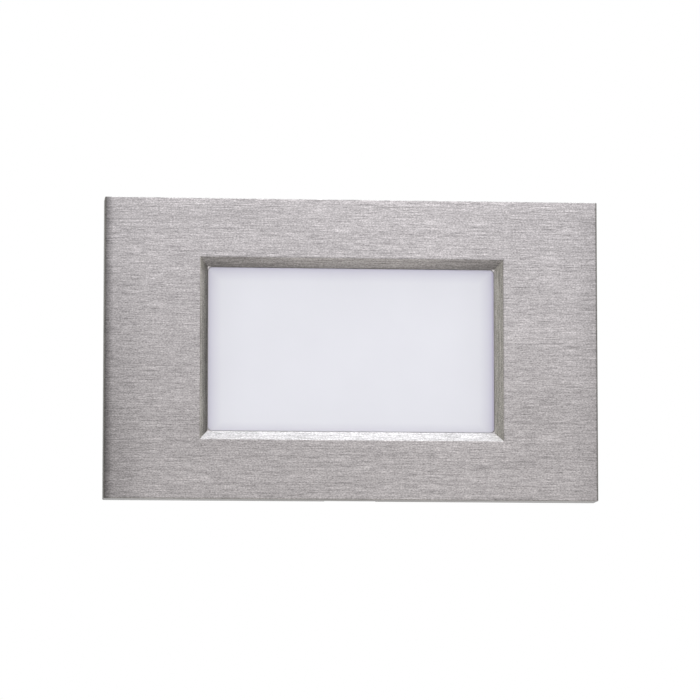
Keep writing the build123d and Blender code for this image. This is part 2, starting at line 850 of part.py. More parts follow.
# ---------------------------------------------------------------- driver components
def make_transformer_core():
    """A ferrite core of two E halves, standing on the board."""
    middle = driver_board_back + transformer_depth / 2
    window_width = (transformer_width - core_middle_leg - 2 * core_outer_leg) / 2
    window_x = (core_middle_leg + window_width) / 2
    window_depth = transformer_depth - 2 * core_yoke
    outline = Rectangle(transformer_width, transformer_depth) - [
        Pos(side * window_x, 0) * Rectangle(window_width, window_depth) for side in (-1, 1)
    ]
    floor = Plane.XY.offset(-core_thickness / 2)
    return extrude(floor * Pos(transformer_place, middle) * outline, amount=core_thickness)


def make_transformer_winding():
    """The taped winding on the core's middle leg."""
    outer = RectangleRounded(winding_width, winding_height, winding_corner)
    leg = Rectangle(core_middle_leg + 2 * winding_gap, core_thickness + 2 * winding_gap)
    front = driver_board_back + core_yoke
    back = front + transformer_depth - 2 * core_yoke
    return slab(Pos(transformer_place, 0) * (outer - leg), front, back)


def standing_can(x, z, radius, length):
    """A round component that stands on the driver board, its far edge rounded."""
    middle = driver_board_back + length / 2
    can = facing_box(middle) * Cylinder(radius, length)
    far_edge = can.edges().sort_by(Axis.Y)[-1]
    return Pos(x, 0, z) * fillet(far_edge, can_edge)


def make_electrolytic_capacitors():
    """Two cans side by side, in the board's upper left."""
    z = driver_board_height / 2 - component_margin - capacitor_radius
    first_x = -column_x + case_column_radius + component_gap + capacitor_radius
    pitch = 2 * capacitor_radius + component_gap
    return group(
        standing_can(first_x + i * pitch, z, capacitor_radius, capacitor_length) for i in range(2)
    )


def make_film_capacitor():
    """A box-shaped film capacitor, in the board's lower right."""
    x = column_x - case_column_radius - component_gap - film_capacitor_width / 2
    z = -driver_board_height / 2 + component_margin + film_capacitor_height / 2
    body = slab(
        Pos(x, z) * Rectangle(film_capacitor_width, film_capacitor_height),
        driver_board_back,
        driver_board_back + film_capacitor_depth,
    )
    return chamfer(body.faces().sort_by(Axis.Y)[-1].edges(), moulded_edge)


def make_choke():
    """A drum choke: two flanges with the winding between them."""
    x = -column_x + case_column_radius + component_gap + choke_radius
    z = -driver_board_height / 2 + component_margin + choke_radius
    drum = turned(
        Polyline(
            (0, 0),
            (choke_radius, 0),
            (choke_radius, choke_flange),
            (choke_waist_radius, choke_flange),
            (choke_waist_radius, choke_length - choke_flange),
            (choke_radius, choke_length - choke_flange),
            (choke_radius, choke_length),
            (0, choke_length),
            close=True,
        )
    )
    return Pos(x, 0, z) * (facing_box(driver_board_back) * drum)


def make_fuse():
    """The round supply fuse, above the terminals."""
    x = column_x - case_column_radius - component_gap - fuse_radius
    z = driver_board_height / 2 - component_margin - fuse_radius
    return standing_can(x, z, fuse_radius, fuse_length)


def make_varistor():
    """A disc varistor that stands on two leads, beside the fuse."""
    x = column_x - case_column_radius - 2 * component_gap - 2 * fuse_radius - varistor_radius
    z = driver_board_height / 2 - component_margin - varistor_thickness / 2
    middle = driver_board_back + varistor_stand + varistor_radius
    disc = Plane(origin=(x, middle, z), z_dir=(0, 0, 1)) * Cylinder(
        varistor_radius, varistor_thickness
    )
    disc = fillet(disc.edges().filter_by(GeomType.CIRCLE), varistor_edge)
    leads = [
        slab(Pos(x + side * lead_pitch / 2, z) * Circle(lead_radius), driver_board_back, middle)
        for side in (-1, 1)
    ]
    return disc + leads


def make_bridge_rectifier():
    """The flat bridge rectifier between the transformer and the terminals."""
    x = (transformer_place + transformer_width / 2 + terminal_x - terminal_width / 2) / 2
    body = slab(
        Pos(x, 0) * Rectangle(bridge_height, bridge_length),
        driver_board_back,
        driver_board_back + bridge_thickness,
    )
    return chamfer(body.faces().sort_by(Axis.Y)[-1].edges(), moulded_edge)


def make_driver_chip():
    """The control chip, left of the transformer."""
    x = -driver_board_width / 2 + component_margin + chip_length / 2
    body = slab(
        Pos(x, 0) * Rectangle(chip_length, chip_height),
        driver_board_back,
        driver_board_back + chip_thickness,
    )
    return chamfer(body.faces().sort_by(Axis.Y)[-1].edges(), moulded_edge)


# ---------------------------------------------------------------- terminals
def pole_x(pole):
    """The X place of a pole, counted from 0 at the left."""
    return terminal_x + (pole - (terminal_poles - 1) / 2) * terminal_pitch


def make_terminal_block():
    """The terminal block: per pole a funnelled conductor bore, a button shaft and a chamber."""
    outline = Rectangle(terminal_width, terminal_height)
    block = slab(Pos(terminal_x, 0) * outline, driver_board_back, case_back)
    block = chamfer(block.faces().sort_by(Axis.Y)[-1].edges(), terminal_edge)
    poles = range(terminal_poles)
    chambers = copies(
        Rectangle(terminal_chamber_width, terminal_chamber_height), [(pole_x(i), 0) for i in poles]
    )
    block -= slab(chambers, terminal_chamber_front, terminal_chamber_back)
    entries = copies(Circle(conductor_radius), [(pole_x(i), conductor_offset) for i in poles])
    block -= slab(entries, terminal_chamber_back, case_back)
    funnel = Cone(conductor_radius, funnel_radius, funnel_depth)
    mouth = facing_box(case_back - funnel_depth / 2)
    block -= [Pos(pole_x(i), 0, conductor_offset) * (mouth * funnel) for i in poles]
    shaft = Rectangle(button_width + 2 * button_clearance, button_height + 2 * button_clearance)
    shafts = copies(shaft, [(pole_x(i), button_offset) for i in poles])
    return block - slab(shafts, terminal_chamber_back, case_back)


def make_terminal_contacts():
    """One bent clamp spring per pole, on its chamber's floor."""
    contacts = []
    half = terminal_chamber_height / 2 - button_clearance
    floor = terminal_chamber_front
    top = terminal_chamber_back - button_foot_gap
    section = make_face(
        Polyline(
            (floor, half),
            (floor, -half),
            (top, -half),
            (top, contact_thickness - half),
            (floor + contact_thickness, contact_thickness - half),
            (floor + contact_thickness, half),
            close=True,
        )
    )
    width = terminal_chamber_width - 2 * button_clearance
    for pole in range(terminal_poles):
        left = Plane.YZ.offset(pole_x(pole) - width / 2)
        contacts.append(extrude(left * section, amount=width))
    return group(contacts)


def make_release_button(pole):
    """A push button with a wide foot, which the chamber keeps from falling out, and a driver slot."""
    foot_back = terminal_chamber_back - button_foot_gap
    back = case_back - button_setback
    place = Pos(pole_x(pole), button_offset)
    stem = slab(place * Rectangle(button_width, button_height), foot_back, back)
    foot_width = button_width + 2 * button_clearance + button_foot_rim
    foot_height = button_height + 2 * button_clearance + button_foot_rim
    foot = slab(
        place * Rectangle(foot_width, foot_height), foot_back - button_foot_thickness, foot_back
    )
    slot = slab(
        place * Rectangle(2 * button_width, button_slot_width), back - button_slot_depth, back
    )
    return stem + foot - slot


# ---------------------------------------------------------------- all the pieces
pieces = {
    "faceplate": make_faceplate(),
    "lens": make_lens(),
    "lens_gasket": make_lens_gasket(),
    "lens_retainer": make_lens_retainer(),
    "retainer_screws": make_retainer_screws(),
    "magnets": make_magnets(),
    "wall_gasket": make_wall_gasket(),
    "mounting_yoke": make_mounting_yoke(),
    "yoke_tab_screws": make_yoke_tab_screws(),
    "box_screws": make_box_screws(),
    "heat_sink_frame": make_heat_sink_frame(),
    "reflector": make_reflector(),
    "led_board": make_led_board(),
    "led_packages": make_led_packages(),
    "led_board_screws": make_led_board_screws(),
    "thermal_pad": make_thermal_pad(),
    "link_pins": make_link_pins(),
    "link_bushing": make_link_bushing(),
    "insulator_sheet": make_insulator_sheet(),
    "case_seal": make_case_seal(),
    "driver_case": make_driver_case(),
    "case_screws": make_case_screws(),
    "driver_board": make_driver_board(),
    "transformer_core": make_transformer_core(),
    "transformer_winding": make_transformer_winding(),
    "electrolytic_capacitors": make_electrolytic_capacitors(),
    "film_capacitor": make_film_capacitor(),
    "choke": make_choke(),
    "fuse": make_fuse(),
    "varistor": make_varistor(),
    "bridge_rectifier": make_bridge_rectifier(),
    "driver_chip": make_driver_chip(),
    "terminal_block": make_terminal_block(),
    "terminal_contacts": make_terminal_contacts(),
}
for pole in range(terminal_poles):
    pieces[f"release_button_{pole + 1}"] = make_release_button(pole)

os.makedirs("parts", exist_ok=True)
for name, piece in pieces.items():
    export_step(piece, os.path.join("parts", f"{name}.step"))
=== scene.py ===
"""Looks of the recessed step light: finishes, fasteners, small parts, studio and camera.

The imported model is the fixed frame. The light's lengths are in millimetres here; the studio's
and Blender's own are in metres. X runs to the right, Y into the wall and Z up, so the light
faces -Y.
"""

import logging
import math
from collections.abc import Callable, Iterable, Sequence
from dataclasses import dataclass
from enum import Enum
from typing import ClassVar

import bmesh
import bpy
from mathutils import Matrix, Vector


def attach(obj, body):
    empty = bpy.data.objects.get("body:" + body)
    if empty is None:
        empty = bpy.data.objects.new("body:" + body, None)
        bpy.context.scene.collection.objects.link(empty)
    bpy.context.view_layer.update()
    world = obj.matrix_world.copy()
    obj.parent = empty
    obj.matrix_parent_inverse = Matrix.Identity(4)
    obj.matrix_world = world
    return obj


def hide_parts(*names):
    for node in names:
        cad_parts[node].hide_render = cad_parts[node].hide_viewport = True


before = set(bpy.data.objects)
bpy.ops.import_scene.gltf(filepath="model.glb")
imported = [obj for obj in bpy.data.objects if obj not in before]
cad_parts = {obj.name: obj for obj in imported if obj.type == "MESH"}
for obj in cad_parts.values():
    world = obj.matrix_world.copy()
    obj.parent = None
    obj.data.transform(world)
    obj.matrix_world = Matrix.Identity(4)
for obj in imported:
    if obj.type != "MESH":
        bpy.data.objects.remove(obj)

log = logging.getLogger("step_light")

MM = 0.001
WAVE_RATE = 20.0  # a wave texture of scale 1 turns 20 radians in one metre
NOISE_ENDS = (0.3, 0.7)  # most of a noise lies between these
WHOLE = (0.0, 1.0)  # the whole range of a factor
STRAIGHT = 0.9  # a face with this much of its normal along an axis faces that way
MERGE_BELOW = 0.000001  # corners closer than this become one, in metres
CREASE = 35.0  # edges sharper than this stay sharp, in degrees
Colour = tuple[float, float, float]
Triple = tuple[float, float, float]
Pair = tuple[float, float]
Socket = bpy.types.NodeSocket
Number = float | Socket


def move(x: float, y: float, z: float) -> Matrix:
    """The move from the origin to a place given in mm."""
    return Matrix.Translation(Vector((x, y, z)) * MM)


def row(count: int, pitch: float) -> list[float]:
    """Evenly spaced places about the middle."""
    return [(number - (count - 1) / 2) * pitch for number in range(count)]


class Body(Enum):
    """The bodies that a piece can ride on."""

    MODULE = "module"
    FRONT = "front"


class Facing(Enum):
    """The way a turned piece points, as the turn that brings its own +Z there."""

    ROOM = (90.0, "X")
    WALL = (-90.0, "X")
    RIGHT = (90.0, "Y")
    LEFT = (-90.0, "Y")

    def at(self, x: float, y: float, z: float) -> Matrix:
        """The turn and the move of a piece that was modelled on +Z, to a place in mm."""
        angle, axis = self.value
        return move(x, y, z) @ Matrix.Rotation(math.radians(angle), 4, axis)

    def corners(self, x: float, y: float, z: float) -> list[Matrix]:
        """The same for the four corners of a rectangle that is 2x wide and 2z high."""
        return [self.at(side * x, y, level * z) for side in (-1, 1) for level in (-1, 1)]


# ------------------------------------------------------------------------------ finishes
class Recipe:
    """A material in the making: its node tree, its shader and short ways to add nodes."""

    def __init__(self, name: str, settings: dict[str, float | Triple]) -> None:
        """Starts a material with one shader.

        Args:
            name: The material's name.
            settings: Constant values for the shader's own sockets, by socket name.
        """
        self.material = bpy.data.materials.new(name)
        self.material.use_nodes = True
        self.tree = self.material.node_tree
        self.shader = self.tree.nodes["Principled BSDF"]
        for socket, value in settings.items():
            self.shader.inputs[socket].default_value = value
        self.place = self.add("ShaderNodeTexCoord").outputs["Object"]

    def add(self, kind: str, inputs: dict | None = None, **properties: object) -> bpy.types.Node:
        """Adds a node.

        Args:
            kind: Blender's name of the node.
            inputs: A socket to link or a plain value for each input, by name or number.
            **properties: The node's own settings.

        Returns:
            The new node.
        """
        node = self.tree.nodes.new(kind)
        for name, value in properties.items():
            setattr(node, name, value)
        for key, value in (inputs or {}).items():
            if isinstance(value, Socket):
                self.tree.links.new(value, node.inputs[key])
            else:
                node.inputs[key].default_value = value
        return node

    def feed(self, socket: str, source: Socket) -> None:
        """Links a source to one of the shader's sockets."""
        self.tree.links.new(source, self.shader.inputs[socket])

    def calc(self, operation: str, first: Number, *others: Number) -> Socket:
        """Works out one number from others, taken one by one.

        Args:
            operation: Blender's name of the sum.
            first: The first number.
            *others: The numbers after it, where the sum needs more than one.

        Returns:
            The result's socket.
        """
        for other in others or (0.0,):
            node = self.add("ShaderNodeMath", {0: first, 1: other}, operation=operation)
            first = node.outputs[0]
        return first

    def product(self, *factors: Number) -> Socket:
        """Multiplies factors with one another."""
        return self.calc("MULTIPLY", *factors)

    def grain(
        self, size: float | Triple, detail: float = 2.0, rough: float = 0.5, wander: float = 0.0
    ) -> Socket:
        """Noise in the piece's own space.

        Args:
            size: Length of a grain, or its lengths along X, Y and Z, in mm.
            detail: How many finer layers it has.
            rough: How strong the finer layers are.
            wander: How far the grain strays from its direction.

        Returns:
            The noise, about 0.5 on average.
        """
        lengths = (size,) * 3 if isinstance(size, float) else size
        scale = tuple(1.0 / (length * MM) for length in lengths)
        mapping = self.add("ShaderNodeMapping", {"Vector": self.place, "Scale": scale})
        layers = {"Detail": detail, "Roughness": rough, "Distortion": wander}
        inputs = {"Vector": mapping.outputs[0], "Scale": 1.0, **layers}
        return self.add("ShaderNodeTexNoise", inputs).outputs[0]

    def cells(self, size: float, feature: str = "F1") -> Socket:
        """Distance to the middles or edges of irregular cells.

        Args:
            size: Width of a cell, in mm.
            feature: F1 for middles, DISTANCE_TO_EDGE for edges.

        Returns:
            The distance, in cell widths.
        """
        inputs = {"Vector": self.place, "Scale": 1.0 / (size * MM)}
        return self.add("ShaderNodeTexVoronoi", inputs, feature=feature).outputs["Distance"]

    def scaled(self, value: Socket, ends: Pair, to: tuple[Number, Number]) -> Socket:
        """Stretches a range of values onto another, with smooth ends.

        Args:
            value: What is stretched.
            ends: Start and end of its range.
            to: What they become.

        Returns:
            The stretched value.
        """
        inputs = {"Value": value, 1: ends[0], 2: ends[1], 3: to[0], 4: to[1]}
        node = self.add("ShaderNodeMapRange", inputs, interpolation_type="SMOOTHSTEP")
        return node.outputs[0]

    def spread(self, value: Socket, contrast: float) -> Socket:
        """Turns noise about 0.5 into a factor about 1.0.

        Args:
            value: The noise.
            contrast: How far the factor strays from 1.0 as the noise strays by 0.5.

        Returns:
            The factor.
        """
        ends = {1: 0.0, 2: 1.0, 3: 1.0 - contrast, 4: 1.0 + contrast}
        return self.add("ShaderNodeMapRange", {0: value, **ends}).outputs[0]

    def tint(self, factor: Socket, colour: Colour | Socket) -> Socket:
        """Makes a colour lighter or darker by a factor."""
        node = self.add("ShaderNodeVectorMath", {0: colour, 3: factor}, operation="SCALE")
        return node.outputs[0]

    def paint(self, factor: Socket, colour: Colour | Socket) -> None:
        """Makes a colour lighter or darker by a factor, as the material's own colour."""
        self.feed("Base Color", self.tint(factor, colour))

    def mix(self, factor: Socket, first: Colour | Socket, second: Colour | Socket) -> Socket:
        """Mixes two colours.

        Args:
            factor: 0.0 for the first colour, 1.0 for the second.
            first: A colour or its socket.
            second: A colour or its socket.

        Returns:
            The mixed colour.
        """
        ends = [end if isinstance(end, Socket) else (*end, 1.0) for end in (first, second)]
        node = self.add("ShaderNodeMix", {0: factor, 6: ends[0], 7: ends[1]}, data_type="RGBA")
        return node.outputs[2]

    def coordinate(self, axis: str) -> Socket:
        """The piece's own X, Y or Z, in metres."""
        return self.add("ShaderNodeSeparateXYZ", {0: self.place}).outputs[axis]

    def away(self, axis: str) -> Socket:
        """How far a place is from the origin along an axis, either way, in metres."""
        return self.calc("ABSOLUTE", self.coordinate(axis))

    def facing(self, axis: str) -> Socket:
        """How far the surface faces along an axis, from -1 to 1."""
        normal = self.add("ShaderNodeNewGeometry").outputs["Normal"]
        return self.add("ShaderNodeSeparateXYZ", {0: normal}).outputs[axis]

    def leaning(self, axis: str) -> Socket:
        """How far the surface faces along an axis, either way, from 0 to 1."""
        return self.calc("ABSOLUTE", self.facing(axis))

    def relief(self, height: Socket, depth: float) -> None:
        """Gives the surface a fine relief, from a height of 0 to 1 and a depth in mm."""
        node = self.add("ShaderNodeBump", {"Distance": depth * MM, "Height": height})
        self.feed("Normal", node.outputs[0])


@dataclass(frozen=True)
class Finish:
    """What each finish has: its name, colour and roughness.

    stray is how far the roughness strays from its value where a pattern is low and high.
    """

    name: str
    colour: Colour
    roughness: float
    stray: Pair = (0.0, 0.0)

    def gloss(self, recipe: Recipe, pattern: Socket, ends: Pair = NOISE_ENDS) -> None:
        """Lets the roughness follow a pattern.

        Args:
            recipe: The material in the making.
            pattern: What the roughness follows.
            ends: Where the pattern is low and high.
        """
        low, high = (self.roughness + shift for shift in self.stray)
        recipe.feed("Roughness", recipe.scaled(pattern, ends, (low, high)))

    def make(self) -> bpy.types.Material:
        """Builds the finish's material.

        Returns:
            The material.
        """
        raise NotImplementedError


@dataclass(frozen=True)
class EdgeShading:
    """Painted light and shade at an edge of the plate, and how far it reaches in, in mm."""

    tone: Number
    reach: float


@dataclass(frozen=True)
class BrushedPlate(Finish):
    """Brushed satin nickel: streaks along the plate, and along the height at its ends.

    It has painted light and shade: it is a little lighter above, has a painted sheen right of the
    middle, and painted shade darkens it to both ends. Each side of the window's bevel has a
    painted tone at its mouth and one at its foot, and so has the left end at its foot and its
    head. A lean is the part of the normal over which one tone turns into another. A layer of
    streaks has its length, height and share.
    """

    stray: Pair = (0.05, -0.05)
    foot_colour: Colour = (0.388, 0.365, 0.366)
    # painted shade: faces that face left or right are darker
    side_shade_colour: Colour = (0.29, 0.277, 0.252)
    # painted shade: faces that face up are darker
    sill_shade_colour: Colour = (0.31, 0.306, 0.31)
    # painted reflection: faces that face down are warmer and a little darker
    downward_reflection_tint: Colour = (0.385, 0.360, 0.345)
    half_width: float = 57.5
    half_height: float = 35.0
    face: float = -7.0
    window: Pair = (70.8, 42.5)
    bevel_depth: float = 2.0
    blur: float = 0.05
    # painted light and shade on each side of the window's bevel, at its mouth and at its foot
    left_bevel_shading: Pair = (1.22, 0.44)
    right_bevel_shading: Pair = (0.82, 0.95)
    upper_bevel_shading: Pair = (0.96, 0.72)
    lower_bevel_shading: Pair = (1.56, 1.84)
    bevel_middle: float = 5.0
    # painted light and shade along the bevel's sides towards their ends
    bevel_end_shading: Pair = (0.72, 1.22)
    # painted light: the land behind the bevel is lighter
    land_light: float = 2.2
    # painted shade on the plate's underside
    underside_shade: float = 0.6
    # painted shade at the left and right rims and the right end, painted light at the upper rim
    left_rim_shade: EdgeShading = EdgeShading(0.42, 2.4)
    right_rim_shade: EdgeShading = EdgeShading(0.6, 0.7)
    upper_rim_light: EdgeShading = EdgeShading(1.08, 2.6)
    right_end_shade: EdgeShading = EdgeShading(0.87, 7.0)
    # painted shade towards the left end, darker at its foot than at its head
    left_end_shade: Pair = (0.72, 0.95)
    left_end_shade_reach: float = 13.0
    # painted light and shade: the plate is lighter above and darker below
    height_shading: Pair = (0.96, 1.09)
    # painted sheen right of the middle
    sheen_place: float = 12.0
    sheen_reach: Pair = (10.0, 32.0)
    sheen_tone: float = 1.05
    underside_lean: Pair = (-0.95, -0.75)
    end_lean: Pair = (0.25, 0.6)
    side_lean: Pair = (0.2, 0.6)
    level_lean: Pair = (-0.3, 0.3)
    streak_length: float = 5.4
    streak_height: float = 0.12
    streak_layers: tuple[Triple, ...] = ((0.4, 0.9, 0.37), (1.0, 1.1, 0.42), (3.2, 2.2, 0.21))
    streak_contrast: float = 1.54
    patch: Triple = (26.0, 9.0, 9.0)
    patch_contrast: float = 0.10
    fleck: Triple = (0.4, 0.22, 0.2)
    fleck_contrast: float = 0.72
    anisotropy: float = 0.6
    depth: float = 0.006

    def streaks(self, recipe: Recipe, along: str) -> Socket:
        """Fine, middle and broad streaks in one.

        Args:
            recipe: The material in the making.
            along: X or Z, the way the streaks run.

        Returns:
            The streaks, about 0.5 on average.
        """
        layers = []
        for longer, higher, share in self.streak_layers:
            length, height = self.streak_length * longer, self.streak_height * higher
            size = (length, height, height) if along == "X" else (height, height, length)
            layers.append(recipe.product(recipe.grain(size, rough=0.6), share))
        return recipe.calc("ADD", *layers)

    def shading_at_edge(self, recipe: Recipe, axis: str, side: int, edge: EdgeShading) -> Socket:
        """Painted light and shade at one edge of the plate.

        Args:
            recipe: The material in the making.
            axis: X for the left and right edge, Z for the upper one.
            side: -1 for the left edge, 1 for the others.
            edge: The tone and its reach.

        Returns:
            The tone, which is 1.0 beyond its reach.
        """
        half = (self.half_width if axis == "X" else self.half_height) * MM
        place, reach = recipe.coordinate(axis), edge.reach * MM
        if side < 0:
            return recipe.scaled(place, (-half, reach - half), (edge.tone, 1.0))
        return recipe.scaled(place, (half - reach, half), (1.0, edge.tone))

    def shade(self, recipe: Recipe) -> Socket:
        """The broad painted light and shade over the plate.

        Args:
            recipe: The material in the making.

        Returns:
            The painted light and shade, as a factor about 1.0.
        """
        up, top = recipe.coordinate("Z"), self.half_height * MM
        at_left = recipe.scaled(up, (-top, top), self.left_end_shade)
        shift = recipe.calc("SUBTRACT", recipe.coordinate("X"), self.sheen_place * MM)
        inner, outer = (reach * MM for reach in self.sheen_reach)
        return recipe.product(
            # painted shade towards both ends and at the left and right rims
            self.shading_at_edge(recipe, "X", -1, self.left_rim_shade),
            self.shading_at_edge(recipe, "X", -1, EdgeShading(at_left, self.left_end_shade_reach)),
            self.shading_at_edge(recipe, "X", 1, self.right_rim_shade),
            self.shading_at_edge(recipe, "X", 1, self.right_end_shade),
            # painted sheen right of the middle
            recipe.scaled(recipe.calc("ABSOLUTE", shift), (inner, outer), (self.sheen_tone, 1.0)),
            # painted light above and painted shade below
            recipe.scaled(up, (-top, top), self.height_shading),
            # painted light at the upper rim
            self.shading_at_edge(recipe, "Z", 1, self.upper_rim_light),
            self.bevel(recipe),
            # painted shade on the underside
            recipe.scaled(recipe.facing("Z"), self.underside_lean, (self.underside_shade, 1.0)),
        )

    def bevel(self, recipe: Recipe) -> Socket:
        """The painted shade and light in the window: the bevel's, then the land's behind it.

        Args:
            recipe: The material in the making.

        Returns:
            The tones, which are 1.0 outside the window.
        """
        deep, blur = recipe.coordinate("Y"), self.blur * MM
        face, foot = self.face * MM, (self.face + self.bevel_depth) * MM
        tone = recipe.scaled(deep, (face, foot), self.bevel_shading_tones(recipe))
        # painted light on the land behind the bevel
        tone = recipe.scaled(deep, (foot, foot + blur), (tone, self.land_light))
        margins = [
            recipe.calc("SUBTRACT", size / 2 * MM, recipe.away(axis))
            for axis, size in zip("XZ", self.window)
        ]
        return recipe.scaled(recipe.calc("MINIMUM", *margins), (-blur, blur), (1.0, tone))

    def bevel_shading_tones(self, recipe: Recipe) -> tuple[Socket, ...]:
        """The bevel's painted light and shade, by the way that its side faces.

        Args:
            recipe: The material in the making.

        Returns:
            The tone at its mouth and the one at its foot.
        """
        sideways, upwards = recipe.facing("X"), recipe.facing("Z")
        low, high = self.side_lean
        along_top, along_left = (
            recipe.scaled(recipe.away(axis), (self.bevel_middle * MM, size / 2 * MM), (1.0, tone))
            for axis, size, tone in zip("XZ", self.window, self.bevel_end_shading)
        )
        tones = []
        # painted light and shade on the bevel, mixed by the way it faces
        for left, right, upper, lower in zip(
            self.left_bevel_shading, self.right_bevel_shading, self.upper_bevel_shading, self.lower_bevel_shading
        ):
            above, aside = recipe.product(along_top, upper), recipe.product(along_left, left)
            level = recipe.scaled(upwards, self.level_lean, (above, lower))
            level = recipe.scaled(sideways, self.side_lean, (level, aside))
            tones.append(recipe.scaled(sideways, (-high, -low), (right, level)))
        return tuple(tones)

    def metal(self, recipe: Recipe, at_end: Socket) -> Socket:
        """The metal's colour by height, with painted shade and a painted reflection by facing.

        Args:
            recipe: The material in the making.
            at_end: 1.0 where the surface faces left or right.

        Returns:
            The colour.
        """
        top = self.half_height * MM
        height = recipe.scaled(recipe.coordinate("Z"), (-top, top), WHOLE)
        colour = recipe.mix(height, self.foot_colour, self.colour)
        # painted shade on faces that face left or right
        colour = recipe.mix(at_end, colour, self.side_shade_colour)
        upwards = recipe.facing("Z")
        low, high = self.side_lean
        # painted shade on faces that face up
        colour = recipe.mix(recipe.scaled(upwards, (low, high), WHOLE), colour, self.sill_shade_colour)
        # painted reflection tint on faces that face down
        on_head = recipe.scaled(upwards, (-high, -low), (1.0, 0.0))
        return recipe.mix(on_head, colour, self.downward_reflection_tint)

    def make(self) -> bpy.types.Material:
        """Builds the finish's material.

        Returns:
            The material.
        """
        recipe = Recipe(self.name, {"Metallic": 1.0, "Anisotropic": self.anisotropy})
        at_end = recipe.scaled(recipe.leaning("X"), self.end_lean, WHOLE)
        lengthwise, upright = self.streaks(recipe, "X"), self.streaks(recipe, "Z")
        streaks = recipe.add("ShaderNodeMix", {0: at_end, 2: lengthwise, 3: upright}).outputs[0]
        tone = recipe.product(
            recipe.spread(streaks, self.streak_contrast),
            recipe.spread(recipe.grain(self.patch), self.patch_contrast),
            recipe.spread(recipe.grain(self.fleck, detail=1.0), self.fleck_contrast),
            self.shade(recipe),
        )
        recipe.paint(tone, self.metal(recipe, at_end))
        self.gloss(recipe, streaks)
        tangent = recipe.add("ShaderNodeTangent", direction_type="RADIAL", axis="Z")
        recipe.feed("Tangent", tangent.outputs[0])
        quarter_turn = recipe.scaled(at_end, WHOLE, (0.25, 0.0))
        recipe.feed("Anisotropic Rotation", quarter_turn)
        recipe.relief(streaks, self.depth)
        return recipe.material


@dataclass(frozen=True)
class OpalSheet(Finish):
    """Opal acrylic: even and cool white, with painted shade near the rim of its pad."""

    half_width: float = 33.42
    half_height: float = 19.07
    # painted shade: darker and bluer near the pad's rim
    rim_shade_colour: Colour = (0.52, 0.49, 0.65)
    rim_shade_reach: float = 3.2
    rim_shade_fade: float = 0.3
    # painted highlight on the pad's rounded edge
    edge_highlight_colour: Colour = (0.90, 0.90, 0.94)
    edge_lean: Pair = (0.75, 0.99)
    # more painted shade at the top and the right of the rim, less at its foot
    top_shade: float = 0.15
    right_shade: float = 0.4
    foot_less_shade: float = 1.1
    # painted shade towards both ends of the pad
    end_shade_reach: float = 11.0
    end_shade_tone: float = 0.965
    cloud: float = 14.0
    cloud_contrast: float = 0.03
    skin: float = 0.12
    depth: float = 0.0015

    def inwards(self, recipe: Recipe) -> Socket:
        """How far a place lies inside the pad's rim.

        Args:
            recipe: The material in the making.

        Returns:
            The distance in metres, less at the top and the right, where more shade is painted,
            and more at the foot, where less is.
        """
        across, up = recipe.coordinate("X"), recipe.coordinate("Z")
        return recipe.calc(
            "MINIMUM",
            recipe.calc("ADD", across, self.half_width * MM),
            recipe.calc("SUBTRACT", (self.half_width - self.right_shade) * MM, across),
            recipe.calc("SUBTRACT", (self.half_height - self.top_shade) * MM, up),
            recipe.calc("ADD", (self.half_height + self.foot_less_shade) * MM, up),
        )

    def make(self) -> bpy.types.Material:
        """Builds the finish's material.

        Returns:
            The material.
        """
        recipe = Recipe(
            self.name,
            {
                "Roughness": self.roughness,
                "Subsurface Weight": 0.25,
                "Subsurface Scale": 2.0 * MM,
                "Subsurface Radius": (1.0, 1.0, 1.0),
                "Specular IOR Level": 0.5,
            },
        )
        # painted shade near the pad's rim
        near = recipe.calc("DIVIDE", self.inwards(recipe), self.rim_shade_reach * MM)
        clamped = recipe.add("ShaderNodeClamp", {0: near}).outputs[0]
        inside = recipe.calc("POWER", clamped, self.rim_shade_fade)
        clouds = recipe.spread(recipe.grain(self.cloud), self.cloud_contrast)
        # painted shade towards both ends
        end, side = (self.half_width - self.end_shade_reach) * MM, self.half_width * MM
        ends = recipe.scaled(recipe.away("X"), (end, side), (1.0, self.end_shade_tone))
        colour = recipe.mix(inside, self.rim_shade_colour, self.colour)
        colour = recipe.tint(recipe.product(clouds, ends), colour)
        # painted highlight on the rounded edge
        on_edge = recipe.scaled(recipe.leaning("Y"), self.edge_lean, (1.0, 0.0))
        recipe.feed("Base Color", recipe.mix(on_edge, colour, self.edge_highlight_colour))
        recipe.relief(recipe.grain(self.skin, rough=0.6), self.depth)
        return recipe.material


@dataclass(frozen=True)
class PlatedMetal(Finish):
    """Plated or drawn metal: soft spangle, fine drawing lines and darker patches."""

    stray: Pair = (-0.07, 0.1)
    lines: Triple = (3.0, 0.08, 0.08)
    spangle: float = 2.5
    contrast: float = 0.16
    crystal_share: float = 0.5
    crystal_ends: Pair = (0.1, 0.9)
    crystal_tones: Pair = (1.05, 0.93)
    depth: float = 0.002

    def make(self) -> bpy.types.Material:
        """Builds the finish's material.

        Returns:
            The material.
        """
        recipe = Recipe(self.name, {"Metallic": 1.0})
        lines = recipe.grain(self.lines, detail=3.0, rough=0.6, wander=0.1)
        patches = recipe.grain(self.spangle, detail=3.0, rough=0.6, wander=0.4)
        crystals = recipe.cells(self.spangle * self.crystal_share)
        tone = recipe.product(
            recipe.spread(lines, self.contrast),
            recipe.spread(patches, self.contrast),
            recipe.scaled(crystals, self.crystal_ends, self.crystal_tones),
        )
        recipe.paint(tone, self.colour)
        self.gloss(recipe, patches)
        recipe.relief(lines, self.depth)
        return recipe.material


